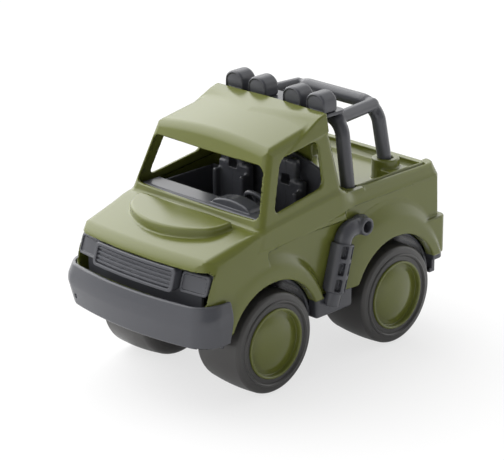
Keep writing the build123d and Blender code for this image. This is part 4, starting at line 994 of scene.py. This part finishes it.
def arc(start, through, end, steps=8):
    """Points on the circle through three (x, radius) points, without its end."""
    (ax, ay), (bx, by), (cx, cy) = start, through, end
    d = 2 * (ax * (by - cy) + bx * (cy - ay) + cx * (ay - by))
    aa, bb, cc = ax * ax + ay * ay, bx * bx + by * by, cx * cx + cy * cy
    ux = (aa * (by - cy) + bb * (cy - ay) + cc * (ay - by)) / d
    uy = (aa * (cx - bx) + bb * (ax - cx) + cc * (bx - ax)) / d
    first = math.atan2(ay - uy, ax - ux)
    turn = math.remainder(math.atan2(by - uy, bx - ux) - first, 2 * math.pi)
    turn += math.remainder(math.atan2(cy - uy, cx - ux) - math.atan2(by - uy, bx - ux), 2 * math.pi)
    radius = math.hypot(ax - ux, ay - uy)
    angles = [first + turn * i / steps for i in range(steps)]
    return [(ux + radius * math.cos(angle), uy + radius * math.sin(angle)) for angle in angles]


def tyre_outline():
    """Round the tyre's section once: distance inwards from its outer face, radius."""
    r, w, s = TYRE_EDGE_R, TYRE_WIDTH, TYRE_SHOULDER
    bore = HUB_R + 0.1
    points = [(-1.2, bore), (-1.2, 24.1)]
    points += arc((-1.2, 24.3), (-0.35, 24.9), (0, 25.3), 5)
    points += arc((0, 25.3), (-0.25, 26.1), (-0.9, 26.4), 5)
    points += arc((-0.9, 26.4), (-1.0, 27.4), (-1.25, 28.4), 4)
    points += arc((-1.25, 28.4), (-2.0, 30.2), (-4.0, 31.0), 12)
    points += arc((-4.0, 31.0), (-w / 2, TYRE_R - CROWN_PEAK), (s - w, r), 18)
    k = s * (1 - math.cos(math.pi / 4))
    points += arc((s - w, r), (k - w, r - k), (-w, r - s), 10)
    return points + [(-w, r - s), (-w, bore), (3 - w, bore), (3 - w, bore + 1), (-4, bore + 1), (-4, bore)]


def hub_outline():
    """Round the hub's section once: dome, groove, bead, barrel and open back."""
    face, top = -0.4, 0.0
    groove_out, groove_in = HUB_R - 1.9, HUB_R - 4.3
    floor = top - HUB_DOME
    back = -TYRE_WIDTH + 1.5
    points = [(top, 0.001)]
    points += arc((top, 0.01), (floor + HUB_DOME * 0.76, groove_in * 0.5), (floor, groove_in), 24)
    points += [(floor - 0.1, groove_in + 0.1), (floor - 0.1, groove_out - 0.3), (floor + 0.2, groove_out)]
    bead = (face + 0.4, (groove_out + 0.4 + HUB_R) / 2)
    points += arc((face - 0.2, groove_out + 0.25), bead, (face, HUB_R), 8)
    points += [(face - 0.1, HUB_R), (back, HUB_R), (back, HUB_R - HUB_WALL)]
    points += [(floor - HUB_WALL, HUB_R - HUB_WALL), (floor - HUB_WALL, HUB_SLEEVE_R), (back, HUB_SLEEVE_R)]
    return points + [(back, HUB_BORE_R), (floor - 2.6, HUB_BORE_R), (floor - 2.6, 0.001)]


# Materials

GREEN = "#5f642c"
GREY = "#46474c"
BLACK = "#3e3d3c"
STEEL = "#c9c9cb"
PLASTIC_IOR = 1.44              # polypropylene's 1.49, lowered to the weak gloss of the toy's steep faces
GREY_DULLER = 0.07              # roughness of the grey mouldings over the green ones'

# Grain of the moulding tools, its width and depth in millimetres. The real one is some ten times finer
# and would not show, so it is drawn as coarse as it needs to show.
POLISHED_GRAIN = (2.4, 0.01)
HALF_POLISHED_GRAIN = (1.8, 0.015)
SATIN_GRAIN = (1.4, 0.02)


def colour(code):
    """Linear colour from an sRGB hex value."""
    parts = [int(code[i:i + 2], 16) / 255 for i in (1, 3, 5)]
    return tuple(c / 12.92 if c <= 0.04045 else ((c + 0.055) / 1.055) ** 2.4 for c in parts) + (1.0,)


def node(tree, kind, links=(), **settings):
    """Add a node with its settings; links are (input name, output socket)."""
    made = tree.nodes.new(kind)
    for key, value in settings.items():
        if key in made.inputs:
            made.inputs[key].default_value = value
        else:
            setattr(made, key, value)
    for name, socket in links:
        tree.links.new(socket, made.inputs[name])
    return made


def empty_material(name):
    """A new material and its cleared node tree."""
    material = bpy.data.materials.new(name)
    material.use_nodes = True
    material.node_tree.nodes.clear()
    return material, material.node_tree


def plastic(name, base, roughness, grain):
    """Injection-moulded plastic: an even colour, a gloss and the tool's grain."""
    width, depth = grain
    material, tree = empty_material(name)
    place = node(tree, "ShaderNodeTexCoord")
    fine = node(tree, "ShaderNodeTexNoise", [("Vector", place.outputs["Object"])],
                Scale=METRE / width, Detail=2.0)
    bump = node(tree, "ShaderNodeBump", [("Height", fine.outputs["Fac"])],
                Strength=1.0, Distance=depth / METRE)
    shader = node(tree, "ShaderNodeBsdfPrincipled", [("Normal", bump.outputs["Normal"])],
                  **{"Base Color": (*base, 1.0), "Roughness": roughness, "IOR": PLASTIC_IOR})
    node(tree, "ShaderNodeOutputMaterial", [("Surface", shader.outputs["BSDF"])])
    return material


@functools.lru_cache
def green_plastic():
    # Polypropylene from a polished tool: one even olive colour under a soft, wet-looking gloss
    return plastic("Moulded green polypropylene", finish().green, finish().gloss, POLISHED_GRAIN)


@functools.lru_cache
def grey_plastic():
    # Polypropylene from a tool less polished: the same gloss a little duller, on a cool dark grey
    return plastic("Moulded grey polypropylene", finish().grey, finish().gloss + GREY_DULLER,
                   HALF_POLISHED_GRAIN)


@functools.lru_cache
def tyre_plastic():
    # Polyethylene from a satin tool: broad, faint highlights on a warmer, nearly black grey
    return plastic("Moulded black-grey polyethylene", finish().tyre, finish().satin, SATIN_GRAIN)


@functools.lru_cache
def steel_rod():
    # Steel drawn through a die: bright metal whose reflections are blurred
    material, tree = empty_material("Drawn steel rod")
    shader = node(tree, "ShaderNodeBsdfPrincipled",
                  **{"Base Color": colour(STEEL), "Metallic": 1.0, "Roughness": 0.3})
    node(tree, "ShaderNodeOutputMaterial", [("Surface", shader.outputs["BSDF"])])
    return material


# Settings, shown in the sidebar

class ToyPickupForms(bpy.types.PropertyGroup):
    """How finely and how softly the mouldings are drawn."""
    grid: FloatProperty(
        name="Body grid", description="Spacing of the grid that the green body is drawn on",
        default=0.001, min=0.0005, max=0.004, unit="LENGTH")
    trim_grid: FloatProperty(
        name="Trim grid", description="Spacing of the grid that the smaller mouldings are drawn on",
        default=0.0007, min=0.0004, max=0.003, unit="LENGTH")
    body_triangles: IntProperty(
        name="Body triangles", description="Most triangles in the green body",
        default=190000, min=20000, max=199000)
    trim_triangles: IntProperty(
        name="Trim triangles", description="Most triangles in each smaller moulding",
        default=40000, min=2000, max=199000)
    turns: IntProperty(
        name="Wheel facets", description="Facets round each tyre and hub", default=160, min=24, max=400)


class ToyPickupFinish(bpy.types.PropertyGroup):
    """Colours and gloss of the plastics."""
    green: FloatVectorProperty(
        name="Green", description="Colour of the olive green mouldings", default=colour(GREEN)[:3],
        subtype="COLOR", size=3, min=0.0, max=1.0)
    grey: FloatVectorProperty(
        name="Grey", description="Colour of the dark grey mouldings", default=colour(GREY)[:3],
        subtype="COLOR", size=3, min=0.0, max=1.0)
    tyre: FloatVectorProperty(
        name="Tyre", description="Colour of the tyres", default=colour(BLACK)[:3],
        subtype="COLOR", size=3, min=0.0, max=1.0)
    gloss: FloatProperty(
        name="Roughness", description="Roughness of the green mouldings' polished tool finish",
        default=0.2, subtype="FACTOR", min=0.0, max=1.0)
    satin: FloatProperty(
        name="Satin roughness", description="Roughness of the tyres' satin tool finish",
        default=0.36, subtype="FACTOR", min=0.0, max=1.0)


class ToyPickupStage(bpy.types.PropertyGroup):
    """Camera and light."""
    camera_at: FloatVectorProperty(
        name="Camera", description="Where the camera stands", default=(0.953488, -0.974630, 0.576730),
        subtype="TRANSLATION", unit="LENGTH", size=3)
    azimuth: FloatProperty(
        name="Azimuth", description="The camera's turn about the upright, from straight ahead of the toy",
        default=math.radians(44.490), subtype="ANGLE")
    elevation: FloatProperty(
        name="Elevation", description="How steeply the camera looks down", default=math.radians(20.181),
        subtype="ANGLE")
    roll: FloatProperty(
        name="Roll", description="The camera's turn about its view", default=math.radians(-0.148),
        subtype="ANGLE")
    lens: FloatProperty(
        name="Lens", description="Focal length on a 36 mm wide sensor", default=171.43, unit="CAMERA")
    tent: FloatProperty(
        name="Tent", description="Brightness of the tent between its panels", default=0.03, min=0.0)
    key: FloatProperty(
        name="Key panel", description="Brightness of the panel high on the toy's right", default=3.7, min=0.0)
    right: FloatProperty(
        name="Right panel", description="Brightness of the low panel on the toy's right",
        default=0.45, min=0.0)
    front: FloatProperty(
        name="Front panel", description="Brightness of the low panel ahead of the toy", default=1.3, min=0.0)
    rear: FloatProperty(
        name="Rear panel", description="Brightness of the low panel behind the toy", default=1.4, min=0.0)
    left: FloatProperty(
        name="Left panel", description="Brightness of the low panel on the toy's left", default=0.55, min=0.0)
    white_share: FloatProperty(
        name="White of the floor", description="How far the floor is drawn as plain white over its shadow",
        default=0.7, min=0.0, max=1.0)
    white_in_gloss: FloatProperty(
        name="White in gloss", description="Share of the white background that a glossy surface reflects",
        default=0.35, min=0.0, max=1.0)


def forms():
    """The scene's settings for the mouldings' shapes."""
    return bpy.context.scene.toy_pickup_forms


def finish():
    """The scene's settings for colour and gloss."""
    return bpy.context.scene.toy_pickup_finish


def stage():
    """The scene's settings for camera and light."""
    return bpy.context.scene.toy_pickup_stage


# Stage

SENSOR_WIDTH = 36.0             # millimetres
NEAREST, FARTHEST = 0.05, 60.0  # metres from the camera that are drawn
FLOOR_HALF = 20.0               # metres, so far out that its edge stays out of the picture
PAPER = (0.85, 0.85, 0.85, 1.0)
WHITE = (1.0, 1.0, 1.0, 1.0)
PANEL_EDGE = math.cos(math.radians(57))      # where a panel's light ends, from its middle
PANEL_MIDDLE = math.cos(math.radians(14))    # where it is full


def build_camera():
    """The photo's camera, from its place, its turns and its lens."""
    data = bpy.data.cameras.new("Camera")
    data.lens = stage().lens
    data.sensor_width = SENSOR_WIDTH
    data.clip_start = NEAREST
    data.clip_end = FARTHEST
    camera = bpy.data.objects.new("Camera", data)
    bpy.context.scene.collection.objects.link(camera)
    bpy.context.scene.camera = camera
    turn = Matrix.Rotation(stage().azimuth, 4, "Z") @ Matrix.Rotation(math.pi / 2 - stage().elevation, 4, "X")
    camera.matrix_world = Matrix.Translation(stage().camera_at) @ turn @ Matrix.Rotation(stage().roll, 4, "Z")


def build_floor():
    """A wide white sheet under the toy, drawn for the most part as plain white over its shadow."""
    far = FLOOR_HALF
    mesh = bpy.data.meshes.new("floor")
    mesh.from_pydata([(-far, -far, 0), (far, -far, 0), (far, far, 0), (-far, far, 0)], [], [(0, 1, 2, 3)])
    floor = bpy.data.objects.new("floor", mesh)
    bpy.context.scene.collection.objects.link(floor)
    material, tree = empty_material("White studio floor")
    paper = node(tree, "ShaderNodeBsdfDiffuse", Color=PAPER)
    white = node(tree, "ShaderNodeEmission", Color=WHITE, Strength=1.0)
    share = node(tree, "ShaderNodeMath", [(0, seen_ray(tree).outputs["Value"])], operation="MULTIPLY")
    share.inputs[1].default_value = stage().white_share
    mixed = node(tree, "ShaderNodeMixShader", [
        ("Fac", share.outputs["Value"]), (1, paper.outputs["BSDF"]), (2, white.outputs["Emission"])])
    node(tree, "ShaderNodeOutputMaterial", [("Surface", mixed.outputs["Shader"])])
    mesh.materials.append(material)


def seen_ray(tree):
    """One on rays that meet the white background, from the camera or through glass; in gloss it is dimmed."""
    path = node(tree, "ShaderNodeLightPath")
    gloss = node(tree, "ShaderNodeMath", [(0, path.outputs["Is Glossy Ray"])], operation="MULTIPLY")
    gloss.inputs[1].default_value = stage().white_in_gloss
    seen = node(tree, "ShaderNodeMath",
                [(0, path.outputs["Is Camera Ray"]), (1, gloss.outputs["Value"])], operation="MAXIMUM")
    return node(tree, "ShaderNodeMath",
                [(0, seen.outputs["Value"]), (1, path.outputs["Is Transmission Ray"])], operation="MAXIMUM")


def build_lights():
    """A white tent with a soft panel of light on each side of the toy, the brightest high on its right."""
    world = bpy.data.worlds.new("Light tent")
    bpy.context.scene.world = world
    world.use_nodes = True
    tree = world.node_tree
    tree.nodes.clear()
    place = node(tree, "ShaderNodeTexCoord")
    light = node(tree, "ShaderNodeValue")
    light.outputs["Value"].default_value = stage().tent
    panels = (      # azimuth and elevation of its middle in degrees, brightness
        (180, 42, stage().key),
        (180, 12, stage().right),
        (-90, 12, stage().front),
        (90, 12, stage().rear),
        (45, 12, stage().left),
    )
    for azimuth, elevation, strength in panels:
        turn, tilt = math.radians(azimuth), math.radians(elevation)
        toward = node(tree, "ShaderNodeVectorMath", [(0, place.outputs["Generated"])],
                      operation="DOT_PRODUCT")
        toward.inputs[1].default_value = (
            math.cos(tilt) * math.cos(turn), math.cos(tilt) * math.sin(turn), math.sin(tilt))
        panel = node(tree, "ShaderNodeMapRange", [("Value", toward.outputs["Value"])],
                     interpolation_type="SMOOTHSTEP",
                     **{"From Min": PANEL_EDGE, "From Max": PANEL_MIDDLE, "To Max": strength})
        light = node(tree, "ShaderNodeMath", [(0, panel.outputs["Result"]), (1, light.outputs["Value"])],
                     operation="ADD")
    white = node(tree, "ShaderNodeMath",
                 [(0, light.outputs["Value"]), (1, seen_ray(tree).outputs["Value"])], operation="MAXIMUM")
    sky = node(tree, "ShaderNodeBackground", [("Strength", white.outputs["Value"])], Color=WHITE)
    node(tree, "ShaderNodeOutputWorld", [("Surface", sky.outputs["Background"])])


# Pieces

def add_moulding(name, field, mirrored=False, finer=1):
    """Draw a dark grey moulding inside its node's box and put it in that node's place.

    A mirrored one is drawn at its left twin's place and turned over. A finer one has a closer grid.
    """
    low, high = span(name)
    if mirrored:
        low, high = low * (-1, 1, 1), high * (-1, 1, 1)
        low[0], high[0] = high[0], low[0]
    step = forms().trim_grid * METRE / finer
    mesh = moulding(name, field, low, high, step, forms().trim_triangles)
    if mirrored:
        mesh = mirrored_mesh(mesh)
    add_piece(name + "_piece", mesh, grey_plastic(), "grey_plastic", "toy_body", name)


def add_wheel_piece(kind, end, side, outline, material, slot):
    """Turn a tyre or a hub from its outline and put it on its axle."""
    name = kind + "_" + end + "_" + side
    mesh = turned(name, outline, forms().turns)
    mesh.transform(Matrix.Translation((TYRE_OUTER_X / METRE, 0, 0)))
    if side == "right":
        mesh.transform(Matrix.Rotation(math.pi, 4, "Z"))
    axle = AXLES[end] / METRE
    mesh.transform(Matrix.Translation((0, axle[1], axle[2])))
    mesh.set_sharp_from_angle(angle=CREASE_ANGLE)
    add_piece(name + "_piece", mesh, material, slot, end + "_wheels", name)


def mirrored_mesh(mesh):
    """The mesh's mirror image across the middle plane, its faces still facing out."""
    outward = np.empty(len(mesh.loops) * 3, np.float32)
    mesh.corner_normals.foreach_get("vector", outward)
    outward = outward.reshape(-1, 3)
    corner = np.empty(len(mesh.loops), np.int32)
    mesh.loops.foreach_get("vertex_index", corner)
    by_point = np.zeros((len(mesh.vertices), 3), np.float32)
    by_point[corner] = outward * (-1, 1, 1)
    mesh.transform(Matrix.Scale(-1, 4, (1, 0, 0)))
    mesh.flip_normals()
    mesh.normals_split_custom_set_from_vertices(by_point.tolist())
    mesh.update()
    return mesh


class StageOperator(bpy.types.Operator):
    """Place the camera, the white floor and the light tent"""
    bl_idname = "toy_pickup.stage"
    bl_label = "Build stage"

    def execute(self, context):
        build_camera()
        context.scene.view_settings.view_transform = "Standard"
        build_floor()
        build_lights()
        return {"FINISHED"}


class BodyOperator(bpy.types.Operator):
    """Build the green body with its cab, bonnet, bed and flares"""
    bl_idname = "toy_pickup.body"
    bl_label = "Build body"

    def execute(self, context):
        mesh = moulding("body", body_shell, BODY_LOW, BODY_HIGH, forms().grid * METRE, forms().body_triangles)
        add_piece("green_body", mesh, green_plastic(), "green_plastic", "toy_body", "body_shell")
        return {"FINISHED"}


class FrontOperator(bpy.types.Operator):
    """Build the front bumper, the grille and the headlamps"""
    bl_idname = "toy_pickup.front"
    bl_label = "Build front"

    def execute(self, context):
        add_moulding("front_bumper", front_bumper)
        add_moulding("grille", grille, finer=2)
        add_moulding("headlamp_left", headlamp)
        add_moulding("headlamp_right", headlamp, mirrored=True)
        return {"FINISHED"}


class BarOperator(bpy.types.Operator):
    """Build the roll bar, the lamp tray and the four roof lamps"""
    bl_idname = "toy_pickup.bar"
    bl_label = "Build roll bar"

    def execute(self, context):
        add_moulding("roll_bar", roll_bar)
        add_moulding("lamp_tray", lamp_tray)
        for name in LAMPS:
            add_moulding(name, roof_lamp(name))
        return {"FINISHED"}


class CabinOperator(bpy.types.Operator):
    """Build the interior tray, dashboard, seats and steering wheel"""
    bl_idname = "toy_pickup.cabin"
    bl_label = "Build cabin"

    def execute(self, context):
        add_moulding("cabin_tub", cabin_tub)
        add_moulding("dashboard", dashboard)
        add_moulding("steering_wheel", steering_wheel)
        for name in ("seat_left", "seat_right"):
            add_moulding(name, seat(name))
        return {"FINISHED"}


class UndersideOperator(bpy.types.Operator):
    """Build the floor pan, the wheel liners and the side exhausts"""
    bl_idname = "toy_pickup.underside"
    bl_label = "Build underside"

    def execute(self, context):
        add_moulding("chassis", chassis)
        add_moulding("exhaust_left", exhaust)
        add_moulding("exhaust_right", exhaust, mirrored=True)
        for end, centre in AXLES.items():
            add_moulding("wheel_liner_" + end + "_left", wheel_liner(centre[1]))
            add_moulding("wheel_liner_" + end + "_right", wheel_liner(centre[1]), mirrored=True)
        return {"FINISHED"}


class WheelsOperator(bpy.types.Operator):
    """Build the four tyres and hubs and finish the steel rods"""
    bl_idname = "toy_pickup.wheels"
    bl_label = "Build wheels"

    def execute(self, context):
        for end in AXLES:
            for side in ("left", "right"):
                add_wheel_piece("tyre", end, side, tyre_outline(), tyre_plastic(), "tyre_plastic")
                add_wheel_piece("hub", end, side, hub_outline(), green_plastic(), "green_plastic")
        for name in ("front_axle", "rear_axle"):
            rod_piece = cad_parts[name]
            rod_piece.data.materials.clear()
            rod_piece.data.materials.append(steel_rod())
        return {"FINISHED"}


class ToyPickupPanel(bpy.types.Panel):
    """Buttons and settings of the toy pickup"""
    bl_label = "Toy pickup"
    bl_idname = "VIEW3D_PT_toy_pickup"
    bl_space_type = "VIEW_3D"
    bl_region_type = "UI"
    bl_category = "Toy pickup"

    def draw(self, context):
        layout = self.layout
        for operator in OPERATORS:
            layout.operator(operator.bl_idname)
        for group in (forms(), finish(), stage()):
            box = layout.box()
            for name in group.__annotations__:
                box.prop(group, name)


GROUPS = (ToyPickupForms, ToyPickupFinish, ToyPickupStage)
OPERATORS = (StageOperator, BodyOperator, FrontOperator, BarOperator, CabinOperator, UndersideOperator,
             WheelsOperator)
CLASSES = GROUPS + OPERATORS + (ToyPickupPanel,)


def register():
    """Make the classes and the scene's settings known to Blender."""
    for made in CLASSES:
        bpy.utils.register_class(made)
    bpy.types.Scene.toy_pickup_forms = PointerProperty(type=ToyPickupForms)
    bpy.types.Scene.toy_pickup_finish = PointerProperty(type=ToyPickupFinish)
    bpy.types.Scene.toy_pickup_stage = PointerProperty(type=ToyPickupStage)


def unregister():
    """Take them out again."""
    del bpy.types.Scene.toy_pickup_stage
    del bpy.types.Scene.toy_pickup_finish
    del bpy.types.Scene.toy_pickup_forms
    for made in reversed(CLASSES):
        bpy.utils.unregister_class(made)


def main():
    """Build the stage and every piece."""
    register()
    bpy.ops.toy_pickup.stage()
    bpy.ops.toy_pickup.body()
    bpy.ops.toy_pickup.front()
    bpy.ops.toy_pickup.bar()
    bpy.ops.toy_pickup.cabin()
    bpy.ops.toy_pickup.underside()
    bpy.ops.toy_pickup.wheels()


if __name__ == "__main__":
    main()
